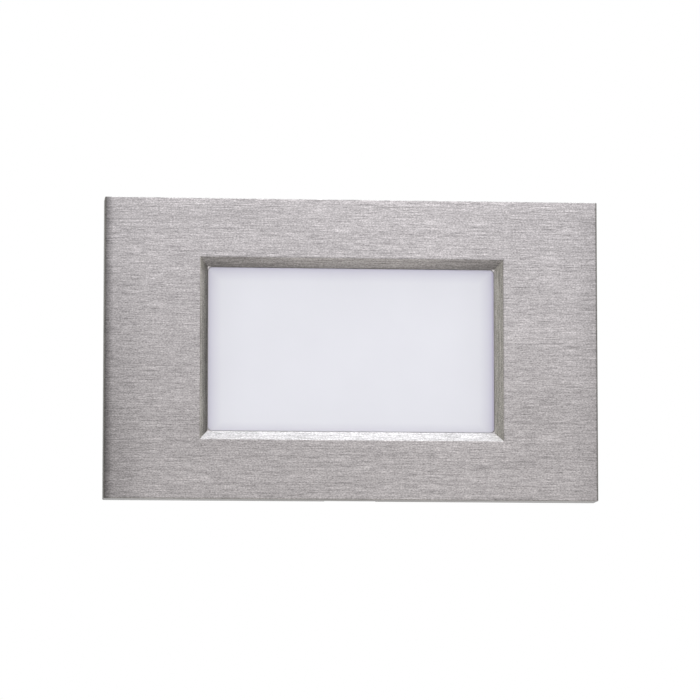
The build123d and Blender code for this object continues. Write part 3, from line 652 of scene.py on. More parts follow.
@dataclass(frozen=True)
class CastMetal(Finish):
    """Die-cast metal: fine sandy skin with cold-flow clouds, dull patches and small pits."""

    stray: Pair = (-0.08, 0.12)
    sand: float = 0.18
    sand_contrast: float = 0.15
    flow: Triple = (12.0, 4.0, 5.0)
    flow_ends: Pair = (0.25, 0.75)
    flow_contrast: float = 0.22
    pit: float = 1.6
    pit_reach: float = 0.12
    pit_tone: float = 0.75
    pit_share: float = 0.5
    depth: float = 0.02

    def make(self) -> bpy.types.Material:
        """Builds the finish's material.

        Returns:
            The material.
        """
        recipe = Recipe(self.name, {"Metallic": 0.9})
        sand = recipe.grain(self.sand, detail=3.0, rough=0.65)
        flow = recipe.grain(self.flow, detail=4.0, rough=0.6, wander=1.2)
        pits = recipe.scaled(recipe.cells(self.pit), (0.0, self.pit_reach), (self.pit_tone, 1.0))
        tone = recipe.product(
            recipe.spread(flow, self.flow_contrast), recipe.spread(sand, self.sand_contrast), pits
        )
        recipe.paint(tone, self.colour)
        self.gloss(recipe, flow, self.flow_ends)
        sunk = recipe.product(pits, self.pit_share)
        recipe.relief(recipe.calc("ADD", sand, sunk), self.depth)
        return recipe.material


@dataclass(frozen=True)
class Moulded(Finish):
    """Moulded plastic: a fine texture from the mould, faint flow clouds, slightly uneven gloss."""

    stray: Pair = (-0.05, 0.06)
    texture: float = 0.25
    texture_contrast: float = 0.12
    depth: float = 0.01
    flow: Triple = (9.0, 6.0, 7.0)
    clouds: float = 0.06
    specks: float = 0.0
    speck_reach: Pair = (0.05, 0.2)
    speck_tone: float = 0.7

    def make(self) -> bpy.types.Material:
        """Builds the finish's material.

        Returns:
            The material.
        """
        recipe = Recipe(self.name, {"Specular IOR Level": 0.45})
        texture = recipe.grain(self.texture, detail=3.0, rough=0.6)
        flow = recipe.grain(self.flow, detail=3.0, rough=0.55, wander=0.8)
        tone = recipe.spread(flow, self.clouds)
        if self.specks:
            cells = recipe.cells(self.specks)
            specks = recipe.scaled(cells, self.speck_reach, (self.speck_tone, 1.0))
            tone = recipe.product(tone, specks)
        recipe.paint(
            recipe.product(tone, recipe.spread(texture, self.texture_contrast)), self.colour
        )
        self.gloss(recipe, flow)
        recipe.relief(texture, self.depth)
        return recipe.material


@dataclass(frozen=True)
class SoftSheet(Finish):
    """Foam, rubber or a soft pad: small cells with darker pores."""

    stray: Pair = (-0.06, 0.0)
    cell: float = 0.5
    pore_reach: Pair = (0.02, 0.3)
    pores: float = 0.45
    wear: float = 5.0
    wear_contrast: float = 0.2
    depth: float = 0.08

    def make(self) -> bpy.types.Material:
        """Builds the finish's material.

        Returns:
            The material.
        """
        recipe = Recipe(self.name, {"Sheen Weight": 0.15, "Specular IOR Level": 0.25})
        cells = recipe.cells(self.cell, "DISTANCE_TO_EDGE")
        skin = recipe.scaled(cells, self.pore_reach, (1.0, 1.0 - self.pores))
        wear = recipe.grain(self.wear, detail=3.0, rough=0.6)
        recipe.paint(recipe.product(skin, recipe.spread(wear, self.wear_contrast)), self.colour)
        self.gloss(recipe, wear)
        recipe.relief(skin, self.depth)
        return recipe.material


@dataclass(frozen=True)
class BoardFinish(Finish):
    """A circuit board: copper under solder mask, bare gaps, and glass fibre at its edges."""

    UNIT: ClassVar[float] = 10.0  # the pattern's own unit, in mm
    stray: Pair = (0.0, 0.1)
    copper: Colour = (0.12, 0.36, 0.14)
    edge: Colour = (0.42, 0.40, 0.24)
    edge_lean: Pair = (0.4, 0.6)
    field_width: float = 9.0
    field_height: float = 4.5
    field_shift: Pair = (3.0, 2.0)
    gap: float = 0.06
    step: float = 0.03
    weave: float = 0.4
    weave_contrast: float = 0.3

    def make(self) -> bpy.types.Material:
        """Builds the finish's material.

        Returns:
            The material.
        """
        recipe = Recipe(self.name, {"Specular IOR Level": 0.5})
        shift = (*(part * MM for part in self.field_shift), 0.0)
        upright = {"Rotation": (math.pi / 2, 0.0, 0.0), "Location": shift}
        flat = recipe.add("ShaderNodeMapping", {"Vector": recipe.place, **upright})
        fields = recipe.add(
            "ShaderNodeTexBrick",
            {
                "Vector": flat.outputs[0],
                "Color1": (1.0, 1.0, 1.0, 1.0),
                "Color2": (0.8, 0.8, 0.8, 1.0),
                "Mortar": (0.0, 0.0, 0.0, 1.0),
                "Scale": 1.0 / (self.UNIT * MM),
                "Mortar Size": self.gap,
                "Mortar Smooth": 0.1,
                "Brick Width": self.field_width / self.UNIT,
                "Row Height": self.field_height / self.UNIT,
            },
            offset=0.37,
            squash=0.6,
            squash_frequency=3,
        )
        weave = recipe.grain(self.weave)
        face = recipe.mix(fields.outputs["Color"], self.colour, self.copper)
        fibre = recipe.tint(recipe.spread(weave, self.weave_contrast), self.edge)
        on_face = recipe.scaled(recipe.leaning("Y"), self.edge_lean, WHOLE)
        recipe.feed("Base Color", recipe.mix(on_face, fibre, face))
        self.gloss(recipe, weave)
        recipe.relief(fields.outputs["Fac"], -self.step)
        return recipe.material


@dataclass(frozen=True)
class Wound(Finish):
    """Turns of wire or tape that lie side by side along Y."""

    stray: Pair = (0.15, 0.0)
    turn: float = 0.35
    metallic: float = 0.0
    depth: float = 0.08
    # painted shade between the turns and a painted highlight on their crests
    contrast: float = 0.25
    crest_highlight_share: float = 0.3
    stain: Triple = (3.0, 1.0, 3.0)
    stain_contrast: float = 0.2

    def make(self) -> bpy.types.Material:
        """Builds the finish's material.

        Returns:
            The material.
        """
        coat = {"Coat Weight": 0.3, "Coat Roughness": 0.2}
        recipe = Recipe(self.name, {"Metallic": self.metallic, **coat})
        scale = 2.0 * math.pi / (WAVE_RATE * self.turn * MM)
        inputs = {"Vector": recipe.place, "Scale": scale, "Distortion": 0.2}
        turns = recipe.add("ShaderNodeTexWave", inputs, bands_direction="Y").outputs["Fac"]
        # painted shade between the turns and a painted highlight on their crests
        low, high = 1.0 - self.contrast, 1.0 + self.crest_highlight_share * self.contrast
        shade = recipe.scaled(turns, WHOLE, (low, high))
        stain = recipe.grain(self.stain, detail=3.0, rough=0.6)
        recipe.paint(recipe.product(shade, recipe.spread(stain, self.stain_contrast)), self.colour)
        self.gloss(recipe, turns, WHOLE)
        recipe.relief(turns, self.depth)
        return recipe.material


BRUSHED_NICKEL = BrushedPlate("brushed_nickel", (0.388, 0.368, 0.376), 0.34)
OPAL = OpalSheet("opal_lens", (0.83, 0.832, 0.89), 0.38)
FOAM = SoftSheet("foam", (0.035, 0.035, 0.038), 0.9, cell=0.55, depth=0.12)
SILICONE = SoftSheet("silicone", (0.33, 0.33, 0.34), 0.6, cell=0.3, depth=0.01, pores=0.08)
PAD = SoftSheet("thermal_pad", (0.40, 0.38, 0.44), 0.75, cell=0.25, depth=0.02, pores=0.15)
ZINC = PlatedMetal("zinc_steel", (0.47, 0.49, 0.51), 0.33, spangle=3.0)
SCREW_STEEL = PlatedMetal(
    "screw_steel", (0.42, 0.42, 0.43), 0.30, lines=(0.4, 0.4, 0.4), spangle=0.8
)
MAGNET = PlatedMetal("magnet_nickel", (0.58, 0.55, 0.51), 0.16, lines=(0.6, 0.6, 0.6), spangle=1.2)
TIN = PlatedMetal("contact_tin", (0.52, 0.50, 0.46), 0.24, lines=(0.3, 1.5, 0.3), spangle=0.8)
BRASS = PlatedMetal("link_brass", (0.55, 0.39, 0.14), 0.25, lines=(0.1, 2.0, 0.1), spangle=0.8)
CAST = CastMetal("cast_aluminium", (0.34, 0.35, 0.36), 0.48)
REFLECTOR_WHITE = Moulded(
    "reflector_white", (0.80, 0.80, 0.78), 0.35, texture=0.15, depth=0.003, clouds=0.03
)
NYLON = Moulded("white_nylon", (0.66, 0.64, 0.56), 0.5, texture=0.2, depth=0.006)
INSULATOR = Moulded("insulator_film", (0.012, 0.012, 0.014), 0.28, texture=0.6, depth=0.004)
CASE_BLACK = Moulded(
    "case_plastic", (0.022, 0.022, 0.024), 0.52, texture=0.22, depth=0.035, clouds=0.25
)
FILM_BOX = Moulded("film_capacitor_box", (0.42, 0.38, 0.06), 0.42, texture=0.3, depth=0.006)
FUSE_BLACK = Moulded("fuse_body", (0.02, 0.02, 0.022), 0.35, texture=0.3, depth=0.004)
CHIP_BLACK = Moulded("chip_black", (0.018, 0.018, 0.02), 0.55, texture=0.1, depth=0.012)
SLEEVE = Moulded("capacitor_sleeve", (0.012, 0.016, 0.035), 0.22, texture=1.2, depth=0.006)
TERMINAL_GREY = Moulded(
    "terminal_grey", (0.36, 0.37, 0.38), 0.48, texture=0.25, depth=0.012, specks=1.3
)
BUTTON_ORANGE = Moulded("button_orange", (0.62, 0.13, 0.012), 0.42, texture=0.2, depth=0.006)
VARISTOR_BLUE = Moulded(
    "varistor_blue", (0.02, 0.07, 0.30), 0.3, texture=1.6, depth=0.05, specks=0.9
)
FERRITE = Moulded("ferrite", (0.022, 0.022, 0.024), 0.62, texture=0.12, depth=0.02, specks=0.5)
PHOSPHOR = Moulded("led_phosphor", (0.78, 0.52, 0.06), 0.45, texture=0.1, depth=0.006, specks=0.12)
LED_WHITE = Moulded("led_body_white", (0.78, 0.78, 0.76), 0.4, texture=0.12, depth=0.003)
GREEN_BOARD = BoardFinish("circuit_board", (0.012, 0.09, 0.035), 0.3, copper=(0.035, 0.20, 0.07))
WHITE_BOARD = BoardFinish(
    "led_board_white",
    (0.62, 0.63, 0.61),
    0.32,
    copper=(0.74, 0.75, 0.73),
    edge=(0.50, 0.51, 0.52),
    field_width=8.0,
    field_height=12.0,
)
TAPE = Wound("winding_tape", (0.62, 0.38, 0.03), 0.28, turn=2.9, depth=0.05, contrast=0.12)
COPPER = Wound("copper_winding", (0.58, 0.22, 0.07), 0.25, turn=0.34, metallic=1.0)


# ------------------------------------------------------------------------------ modelling
class Bench:
    """Short ways to model with operators, with one piece on the bench at a time."""

    @staticmethod
    def clear() -> None:
        """Leaves edit mode and deselects every object."""
        if bpy.context.object and bpy.context.object.mode != "OBJECT":
            bpy.ops.object.mode_set(mode="OBJECT")
        bpy.ops.object.select_all(action="DESELECT")

    @staticmethod
    def hold(*pieces: bpy.types.Object) -> None:
        """Selects only these pieces.

        Args:
            *pieces: The pieces, of which the first becomes active.
        """
        Bench.clear()
        for piece in pieces:
            piece.select_set(True)
        bpy.context.view_layer.objects.active = pieces[0]

    @staticmethod
    def pick_faces(test: Callable[[bmesh.types.BMFace], bool]) -> None:
        """Selects faces of the active piece, in edit mode.

        Args:
            test: Which faces to select; all others are deselected.
        """
        mesh = bmesh.from_edit_mesh(bpy.context.object.data)
        bpy.ops.mesh.select_mode(type="FACE")
        for face in mesh.faces:
            face.select_set(test(face))
        bmesh.update_edit_mesh(bpy.context.object.data)

    @staticmethod
    def start(name: str) -> bpy.types.Object:
        """Names the new primitive, applies its size and place, and opens it in edit mode.

        Args:
            name: The piece's name.

        Returns:
            The new piece.
        """
        piece = bpy.context.object
        piece.name = piece.data.name = name
        bpy.ops.object.transform_apply(location=True, rotation=True, scale=True)
        bpy.ops.object.mode_set(mode="EDIT")
        return piece

    @staticmethod
    def turned(name: str, rings: Sequence[Pair], sides: int) -> bpy.types.Object:
        """Grows a closed round piece on +Z from a disc, ring by ring.

        Args:
            name: The piece's name.
            rings: Radius and height of each ring, in mm.
            sides: How many sides it has.

        Returns:
            The new piece.
        """
        Bench.clear()
        radius, height = rings[0]
        bpy.ops.mesh.primitive_circle_add(
            vertices=sides, radius=radius * MM, fill_type="NGON", location=(0, 0, height * MM)
        )
        piece = Bench.start(name)
        bpy.ops.mesh.select_all(action="SELECT")
        for next_radius, next_height in rings[1:]:
            rise = (next_height - height) * MM
            bpy.ops.mesh.extrude_region_move(TRANSFORM_OT_translate={"value": (0, 0, rise)})
            share = next_radius / radius
            bpy.ops.transform.resize(
                value=(share, share, 1), center_override=(0, 0, next_height * MM)
            )
            radius, height = next_radius, next_height
        Bench.close_up()
        return piece

    @staticmethod
    def block(name: str, size: Triple, place: Triple) -> bpy.types.Object:
        """Adds a block at its size and place, and opens it in edit mode.

        Args:
            name: The piece's name.
            size: Its size along X, Y and Z, in mm.
            place: The place of its middle, in mm.

        Returns:
            The new piece.
        """
        Bench.clear()
        bpy.ops.mesh.primitive_cube_add(size=1, location=[part * MM for part in place])
        bpy.context.object.scale = [part * MM for part in size]
        return Bench.start(name)

    @staticmethod
    def close_up() -> None:
        """Merges doubles, turns the faces outwards and leaves edit mode."""
        bpy.ops.mesh.select_all(action="SELECT")
        bpy.ops.mesh.remove_doubles(threshold=MERGE_BELOW)
        bpy.ops.mesh.normals_make_consistent(inside=False)
        bpy.ops.object.mode_set(mode="OBJECT")

    @staticmethod
    def apply(piece: bpy.types.Object, kind: str, **settings: object) -> None:
        """Gives a piece a modifier and applies it.

        Args:
            piece: The piece.
            kind: Blender's name of the modifier.
            **settings: The modifier's settings.
        """
        Bench.hold(piece)
        modifier = piece.modifiers.new("shape", kind)
        for name, value in settings.items():
            setattr(modifier, name, value)
        bpy.ops.object.modifier_apply(modifier=modifier.name)

    @staticmethod
    def cut(piece: bpy.types.Object, cutter: bpy.types.Object) -> None:
        """Cuts one piece out of another and throws the cutter away."""
        Bench.apply(piece, "BOOLEAN", operation="DIFFERENCE", solver="EXACT", object=cutter)
        bpy.data.objects.remove(cutter)

    @staticmethod
    def join(pieces: Sequence[bpy.types.Object], name: str) -> bpy.types.Object:
        """Joins pieces into the first one.

        Args:
            pieces: The pieces.
            name: The joined piece's name.

        Returns:
            The joined piece.
        """
        Bench.hold(*pieces)
        bpy.ops.object.join()
        pieces[0].name = pieces[0].data.name = name
        return pieces[0]

    @staticmethod
    def smooth(piece: bpy.types.Object) -> None:
        """Shades a piece smooth, apart from its sharp edges."""
        Bench.hold(piece)
        bpy.ops.object.shade_smooth_by_angle(angle=math.radians(CREASE))

    @staticmethod
    def copies(
        model: bpy.types.Object, name: str, places: Iterable[Matrix]
    ) -> list[bpy.types.Object]:
        """Copies a modelled piece to its places, each with its own mesh, and throws it away.

        Args:
            model: The piece, modelled at the origin.
            name: The copies' name, before their number.
            places: Where the copies go.

        Returns:
            The copies.
        """
        made = []
        for number, place in enumerate(places, 1):
            copy = bpy.data.objects.new(f"{name}_{number}", model.data.copy())
            copy.data.name = copy.name
            copy.data.transform(place)
            bpy.context.scene.collection.objects.link(copy)
            made.append(copy)
        bpy.data.objects.remove(model)
        return made


class Wardrobe:
    """Makes each finish once and puts it on nodes and pieces."""

    made: ClassVar[dict[str, bpy.types.Material]] = {}

    @classmethod
    def material(cls, finish: Finish) -> bpy.types.Material:
        """The finish's material, made when it is first asked for.

        Args:
            finish: The finish.

        Returns:
            Its material.
        """
        if finish.name not in cls.made:
            cls.made[finish.name] = finish.make()
        return cls.made[finish.name]

    @classmethod
    def node(cls, name: str, finish: Finish) -> None:
        """Dresses a node of the frame.

        Args:
            name: The node's name.
            finish: Its finish.
        """
        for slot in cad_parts[name].material_slots:
            slot.material = cls.material(finish)
        log.info("node %s: %s", name, finish.name)

    @classmethod
    def piece(
        cls, piece: bpy.types.Object, body: Body, slot: str, node: str, *finishes: Finish
    ) -> None:
        """Dresses a new piece that stands for a node, and lets it ride.

        Args:
            piece: The new piece.
            body: The body it rides on.
            slot: The record's material slot, which is not used.
            node: The node that it stands for.
            *finishes: Its finishes, in the order of its faces' numbers.
        """
        for finish in finishes:
            piece.data.materials.append(cls.material(finish))
        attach(piece, body.value)
        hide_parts(node)
        log.info("piece %s stands for %s", piece.name, node)


@dataclass(frozen=True)
class Blade:
    """One blade of a screw's recess.

    Its reach from the axis and its width are shares of the head's radius, and its depth is one
    of the head's height. Its foot's length and width are shares of its mouth's.
    """

    reach: float
    width: float
    depth: float
    foot_length: float
    foot_width: float = 0.8


CROSS_BLADE = Blade(reach=0.56, width=0.19, depth=0.55, foot_length=0.45)
SLOT_BLADE = Blade(reach=1.2, width=0.15, depth=0.38, foot_length=1.0)


class Drive(Enum):
    """The recess in a screw's head, as its blades and their turns in degrees."""

    CROSS = ((CROSS_BLADE, 0.0), (CROSS_BLADE, 90.0))
    CROSS_AND_SLOT = (*CROSS, (SLOT_BLADE, 0.0))


@dataclass(frozen=True)
class PanScrew:
    """A pan-head screw with a recess, a rolled thread and a bevelled tip, on +Z."""

    SKIRT: ClassVar[float] = 0.45  # height of the head's straight side, in head heights
    EDGE: ClassVar[float] = 0.04  # bevel at the head's seat, in head radii
    DOME_STEPS: ClassVar[int] = 8
    ROOT: ClassVar[float] = 0.5  # depth of the thread down to the shank, in pitches
    SINK: ClassVar[float] = 0.96  # radius of the ridge's foot, in shank radii
    RIDGE: ClassVar[float] = 0.86  # width of the ridge's foot, in pitches
    CREST: ClassVar[float] = 0.16  # width of its crest, as a share of its foot's
    PLAIN_TOP: ClassVar[float] = 0.7  # plain shank under the head, in pitches
    PLAIN: ClassVar[float] = 1.6  # plain shank at both ends together, in pitches
    TIP: ClassVar[float] = 0.3  # bevel of the tip, in thread radii
    STEP: ClassVar[float] = 0.05  # height of the step from shank to neck, in mm
    OVERLAP: ClassVar[float] = 0.1  # how far the neck stands in the head, in mm

    head_radius: float
    head_height: float
    thread_radius: float
    length: float
    pitch: float
    neck_radius: float = 0.0
    neck_length: float = 0.0
    drive: Drive = Drive.CROSS
    sides: int = 40

    def core_radius(self) -> float:
        """The shank's radius between the turns of its thread, in mm."""
        return self.thread_radius - self.ROOT * self.pitch

    def head(self) -> bpy.types.Object:
        """The domed head, grown from its seat and cut by its recess.

        Returns:
            The new piece.
        """
        radius, height = self.head_radius, self.head_height
        skirt, edge = self.SKIRT * height, self.EDGE * radius
        rise = height - skirt
        dome = (radius**2 + rise**2) / (2 * rise)
        rings = [(radius - edge, 0.0), (radius, edge), (radius, skirt)]
        for step in range(1, self.DOME_STEPS):
            inner = radius * (1 - step / self.DOME_STEPS)
            rings.append((inner, math.sqrt(dome**2 - inner**2) - dome + height))
        head = Bench.turned("head", rings, self.sides)
        for blade, turn in self.drive.value:
            Bench.cut(head, self.cutter(blade, turn))
        return head

    def cutter(self, blade: Blade, turn: float) -> bpy.types.Object:
        """The cutter for one blade of the recess, narrower at its foot.

        Args:
            blade: The blade.
            turn: Its turn about the axis, in degrees.

        Returns:
            The cutter.
        """
        radius, tall = self.head_radius, self.head_height
        size = (2 * blade.reach * radius, blade.width * radius, tall)
        cutter = Bench.block("blade", size, (0, 0, tall * (1 - blade.depth) + tall / 2))
        Bench.pick_faces(lambda face: face.normal.z < -STRAIGHT)
        bpy.ops.transform.resize(value=(blade.foot_length, blade.foot_width, 1))
        bpy.ops.object.mode_set(mode="OBJECT")
        cutter.data.transform(Matrix.Rotation(math.radians(turn), 4, "Z"))
        return cutter

    def thread(self) -> bpy.types.Object:
        """The thread's ridge, one profile wound up the shank and capped at both ends.

        Returns:
            The new piece.
        """
        root = self.core_radius() * self.SINK
        depth = self.thread_radius - root
        middle = (root + depth / 2) * MM
        turns = math.floor((self.length - self.neck_length) / self.pitch - self.PLAIN)
        start = -self.neck_length - self.PLAIN_TOP * self.pitch - turns * self.pitch
        Bench.clear()
        bpy.ops.mesh.primitive_plane_add(
            size=1, rotation=(math.pi / 2, 0, 0), location=(middle, 0, start * MM)
        )
        bpy.context.object.scale = (depth * MM, self.RIDGE * self.pitch * MM, 1)
        ridge = Bench.start("ridge")
        bpy.ops.mesh.select_mode(type="VERT")
        mesh = bmesh.from_edit_mesh(ridge.data)
        for vertex in mesh.verts:
            vertex.select_set(vertex.co.x > middle)
        bmesh.update_edit_mesh(ridge.data)
        bpy.ops.transform.resize(value=(1, 1, self.CREST))
        bpy.ops.mesh.select_all(action="SELECT")
        bpy.ops.mesh.delete(type="ONLY_FACE")
        bpy.ops.object.mode_set(mode="OBJECT")
        winding = {"screw_offset": self.pitch * MM, "iterations": turns, "axis": "Z"}
        steps = self.sides // 2
        Bench.apply(ridge, "SCREW", **winding, steps=steps, render_steps=steps)
        bpy.ops.object.mode_set(mode="EDIT")
        bpy.ops.mesh.select_all(action="SELECT")
        bpy.ops.mesh.fill_holes(sides=4)
        Bench.close_up()
        return ridge

    def build(self, name: str) -> bpy.types.Object:
        """Models the whole screw at the origin.

        Args:
            name: The piece's name.

        Returns:
            The new piece.
        """
        core, tip = self.core_radius(), self.TIP * self.thread_radius
        neck = self.neck_radius or core
        rings = [
            (core - tip, -self.length),
            (core, tip - self.length),
            (core, -self.neck_length - self.STEP),
            (neck, -self.neck_length),
            (neck, self.OVERLAP),
        ]
        shank = Bench.turned("shank", rings, self.sides)
        screw = Bench.join([self.head(), shank, self.thread()], name)
        Bench.smooth(screw)
        return screw


# ------------------------------------------------------------------------------ sub-assemblies
class SubAssembly:
    """What each sub-assembly has: the body it rides on and the finishes of its nodes."""

    body: ClassVar[Body] = Body.MODULE
    finishes: ClassVar[dict[str, Finish]]

    def dress(self) -> None:
        """Puts the finishes on the nodes."""
        for node, finish in self.finishes.items():
            Wardrobe.node(node, finish)

    def fasten(self, screw: PanScrew, name: str, places: Iterable[Matrix]) -> None:
        """Models a screw and copies it to its places.

        Args:
            screw: The screw.
            name: Its name, whose plural is its node's.
            places: Where its copies go.
        """
        for copy in Bench.copies(screw.build(name), name, places):
            Wardrobe.piece(copy, self.body, "screw_steel", f"{name}s", SCREW_STEEL)

    def build(self) -> None:
        """Models the new pieces."""
        raise NotImplementedError


@dataclass
class FrontPlate(SubAssembly):
    """The faceplate with its lens, retainer, magnets and foam, which come off together."""

    body = Body.FRONT
    finishes = {
        "faceplate": BRUSHED_NICKEL,
        "lens": OPAL,
        "lens_gasket": SILICONE,
        "lens_retainer": ZINC,
        "magnets": MAGNET,
        "wall_gasket": FOAM,
    }
    screw: PanScrew = PanScrew(
        head_radius=1.9, head_height=1.2, thread_radius=1.0, length=3.0, pitch=0.45
    )
    screw_x: float = 26.0
    screw_z: float = 26.635
    retainer_back: float = -1.6

    def build(self) -> None:
        """Models the retainer's four screws."""
        places = Facing.WALL.corners(self.screw_x, self.retainer_back, self.screw_z)
        self.fasten(self.screw, "retainer_screw", places)


@dataclass
class YokeSet(SubAssembly):
    """The steel yoke with the box screws and the screws of its tabs."""

    finishes = {"mounting_yoke": ZINC}
    box_screw: PanScrew = PanScrew(
        head_radius=3.45,
        head_height=2.0,
        thread_radius=1.75,
        length=25.0,
        pitch=0.79,
        neck_radius=1.4,
        neck_length=1.2,
        drive=Drive.CROSS_AND_SLOT,
        sides=48,
    )
    box_screw_x: float = 41.67
    yoke_front: float = -1.2
    tab_screw: PanScrew = PanScrew(
        head_radius=2.3, head_height=1.5, thread_radius=1.25, length=4.2, pitch=0.5
    )
    tab_x: float = 35.436
    tab_screw_y: float = 6.5
    tab_screw_z: float = 7.0

    def build(self) -> None:
        """Models the screws: two into the wall box, with a neck in the yoke's slot, and four."""
        slots = [Facing.ROOM.at(side * self.box_screw_x, self.yoke_front, 0) for side in (-1, 1)]
        self.fasten(self.box_screw, "box_screw", slots)
        tabs = [
            facing.at(side * self.tab_x, self.tab_screw_y, level * self.tab_screw_z)
            for side, facing in ((-1, Facing.LEFT), (1, Facing.RIGHT))
            for level in (-1, 1)
        ]
        self.fasten(self.tab_screw, "yoke_tab_screw", tabs)


@dataclass
class LightChamber(SubAssembly):
    """The die-cast frame with the reflector, the LED board and its packages."""

    finishes = {
        "heat_sink_frame": CAST,
        "reflector": REFLECTOR_WHITE,
        "led_board": WHITE_BOARD,
        "thermal_pad": PAD,
        "link_pins": BRASS,
        "link_bushing": NYLON,
    }
    board_front: float = 11.1
    columns: int = 6
    rows: int = 2
    pitch_x: float = 8.0
    pitch_z: float = 12.0
    package: Triple = (3.5, 0.7, 2.8)
    package_rim: float = 0.35
    package_edge: float = 0.06
    cup_slope: float = 0.12
    cup_depth: float = 0.18
    screw: PanScrew = PanScrew(
        head_radius=1.9, head_height=1.3, thread_radius=1.0, length=4.2, pitch=0.45
    )
    screw_x: float = 22.0
    screw_z: float = 16.635

    def build_packages(self) -> None:
        """Models one LED package, with its phosphor in a cup, and copies it to every place."""
        width, depth, height = self.package
        model = Bench.block("led", self.package, (0, -depth / 2, 0))
        Bench.pick_faces(lambda face: face.normal.y < -STRAIGHT)
        bpy.ops.mesh.inset(thickness=self.package_rim * MM, depth=0)
        bpy.ops.mesh.inset(thickness=self.cup_slope * MM, depth=-self.cup_depth * MM)
        bpy.ops.object.mode_set(mode="OBJECT")
        third = width * height * MM**2 / 3  # of the front; only the cup's floor has more
        for face in model.data.polygons:
            face.material_index = int(face.normal.y < -STRAIGHT and face.area > third)
        edge = self.package_edge * MM
        Bench.apply(model, "BEVEL", width=edge, segments=2, limit_method="ANGLE")
        Bench.smooth(model)
        places = [
            move(x, self.board_front, z)
            for x in row(self.columns, self.pitch_x)
            for z in row(self.rows, self.pitch_z)
        ]
        for led in Bench.copies(model, "led_package", places):
            Wardrobe.piece(led, self.body, "led_phosphor", "led_packages", LED_WHITE, PHOSPHOR)

    def build(self) -> None:
        """Models the LED packages and the board's four screws."""
        self.build_packages()
        places = Facing.ROOM.corners(self.screw_x, self.board_front, self.screw_z)
        self.fasten(self.screw, "led_board_screw", places)


@dataclass
class DriverUnit(SubAssembly):
    """The moulded case with its screws, the driver board and everything on it."""

    finishes = {
        "driver_case": CASE_BLACK,
        "case_seal": SILICONE,
        "insulator_sheet": INSULATOR,
        "driver_board": GREEN_BOARD,
        "transformer_core": FERRITE,
        "transformer_winding": TAPE,
        "electrolytic_capacitors": SLEEVE,
        "film_capacitor": FILM_BOX,
        "choke": COPPER,
        "fuse": FUSE_BLACK,
        "varistor": VARISTOR_BLUE,
        "bridge_rectifier": CHIP_BLACK,
        "driver_chip": CHIP_BLACK,
        "terminal_block": TERMINAL_GREY,
        "terminal_contacts": TIN,
        **{f"release_button_{number}": BUTTON_ORANGE for number in (1, 2, 3)},
    }
    screw: PanScrew = PanScrew(
        head_radius=2.2, head_height=1.6, thread_radius=1.25, length=21.3, pitch=0.5
    )
    column_x: float = 29.4
    column_z: float = 16.735
    screw_seat: float = 35.8

    def build(self) -> None:
        """Models the four long screws in the counterbores of the case."""
        places = Facing.WALL.corners(self.column_x, self.screw_seat, self.column_z)
        self.fasten(self.screw, "case_screw", places)


# ------------------------------------------------------------------------------ studio
@dataclass
class Lamp:
    """A soft square lamp that points at the step light."""

    name: str
    place: Triple
    size: float
    power: float

    def build(self) -> None:
        """Adds the lamp, pointed at the origin."""
        data = bpy.data.lights.new(self.name, "AREA")
        data.shape = "SQUARE"
        data.size = self.size
        data.energy = self.power
        lamp = bpy.data.objects.new(self.name, data)
        lamp.location = self.place
        lamp.rotation_euler = (-Vector(self.place)).to_track_quat("-Z", "Y").to_euler()
        bpy.context.scene.collection.objects.link(lamp)
        log.info("lamp %s", self.name)


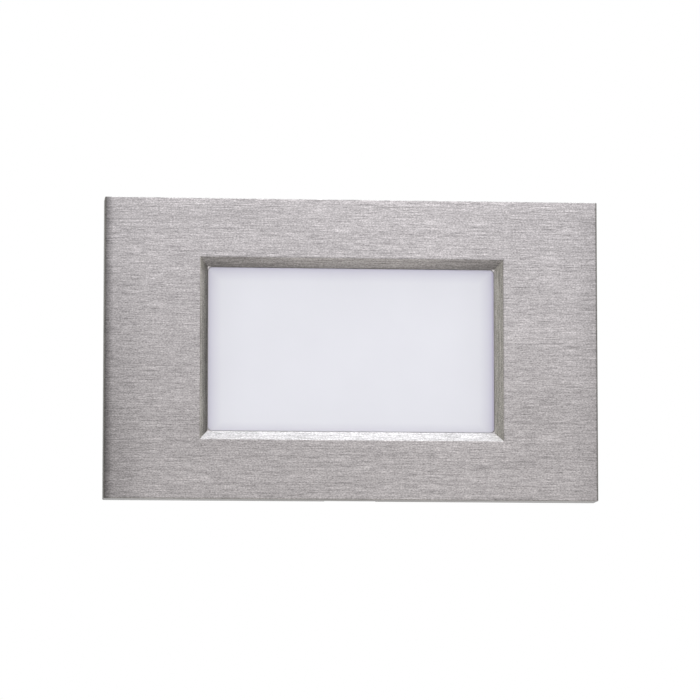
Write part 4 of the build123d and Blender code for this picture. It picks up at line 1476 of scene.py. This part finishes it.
@dataclass
class Studio:
    """A pale floor, soft lamps, a white background and the camera.

    The camera's lens and sensor, its target on the light and the floor's clouds are in mm.
    """

    azimuth: float = -5.3
    elevation: float = -6.1
    distance: float = 1.0
    lens: float = 221.7
    sensor: float = 36.0
    clip: Pair = (0.05, 50.0)
    target: Triple = (-0.52, -7.0, -0.23)
    floor_height: float = -1.2
    floor_size: float = 18.0
    floor_tone: float = 0.90
    cloud: float = 300.0
    cloud_contrast: float = 0.02
    ambient: float = 0.90
    lamps: tuple[Lamp, ...] = (
        Lamp("overhead", (0.07, 0.04, 0.8), 0.6, 2.75),
        Lamp("front_fill", (0.25, -1.1, 0.45), 0.6, 0.9),
        Lamp("side_fill", (-0.9, -0.05, 0.12), 0.5, 0.5),
        Lamp("back_fill", (0.5, 1.0, 0.6), 0.7, 3.0),
    )

    def build_floor(self) -> None:
        """Lays the pale floor well below the light."""
        Bench.clear()
        bpy.ops.mesh.primitive_plane_add(size=self.floor_size, location=(0, 0, self.floor_height))
        floor = bpy.context.object
        floor.name = "floor"
        recipe = Recipe("floor_pale", {"Roughness": 0.9, "Specular IOR Level": 0.1})
        clouds = recipe.spread(recipe.grain(self.cloud), self.cloud_contrast)
        recipe.paint(clouds, (self.floor_tone,) * 3)
        floor.data.materials.append(recipe.material)

    def build_world(self) -> None:
        """White behind everything, and a plain ambient light on the surfaces."""
        world = bpy.data.worlds.new("studio")
        world.use_nodes = True
        tree = world.node_tree
        background = tree.nodes["Background"]
        background.inputs["Color"].default_value = (1.0, 1.0, 1.0, 1.0)
        path = tree.nodes.new("ShaderNodeLightPath")
        seen = path.outputs["Is Camera Ray"]
        for ray in ("Is Glossy Ray", "Is Transmission Ray"):
            either = tree.nodes.new("ShaderNodeMath")
            either.operation = "MAXIMUM"
            tree.links.new(seen, either.inputs[0])
            tree.links.new(path.outputs[ray], either.inputs[1])
            seen = either.outputs[0]
        strength = tree.nodes.new("ShaderNodeMapRange")
        strength.inputs["To Min"].default_value = self.ambient
        tree.links.new(seen, strength.inputs["Value"])
        tree.links.new(strength.outputs[0], background.inputs["Strength"])
        bpy.context.scene.world = world

    def build_camera(self) -> None:
        """Stands the camera where the photograph was taken from."""
        data = bpy.data.cameras.new("camera")
        data.lens = self.lens
        data.sensor_width = self.sensor
        data.clip_start, data.clip_end = self.clip
        turn, rise = math.radians(self.azimuth), math.radians(self.elevation)
        back = Vector(
            (math.sin(turn) * math.cos(rise), -math.cos(turn) * math.cos(rise), math.sin(rise))
        )
        camera = bpy.data.objects.new("camera", data)
        camera.location = Vector(self.target) * MM + back * self.distance
        camera.rotation_euler = (-back).to_track_quat("-Z", "Y").to_euler()
        bpy.context.scene.collection.objects.link(camera)
        bpy.context.scene.camera = camera

    def build(self) -> None:
        """Builds the whole studio."""
        bpy.context.scene.view_settings.view_transform = "Standard"
        self.build_floor()
        self.build_world()
        for lamp in self.lamps:
            lamp.build()
        self.build_camera()


def main() -> None:
    """Builds and dresses the step light, then the studio."""
    logging.basicConfig(level=logging.INFO, format="%(name)s %(message)s")
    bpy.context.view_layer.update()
    for part in (FrontPlate(), YokeSet(), LightChamber(), DriverUnit()):
        part.dress()
        part.build()
    Studio().build()


if __name__ == "__main__":
    main()
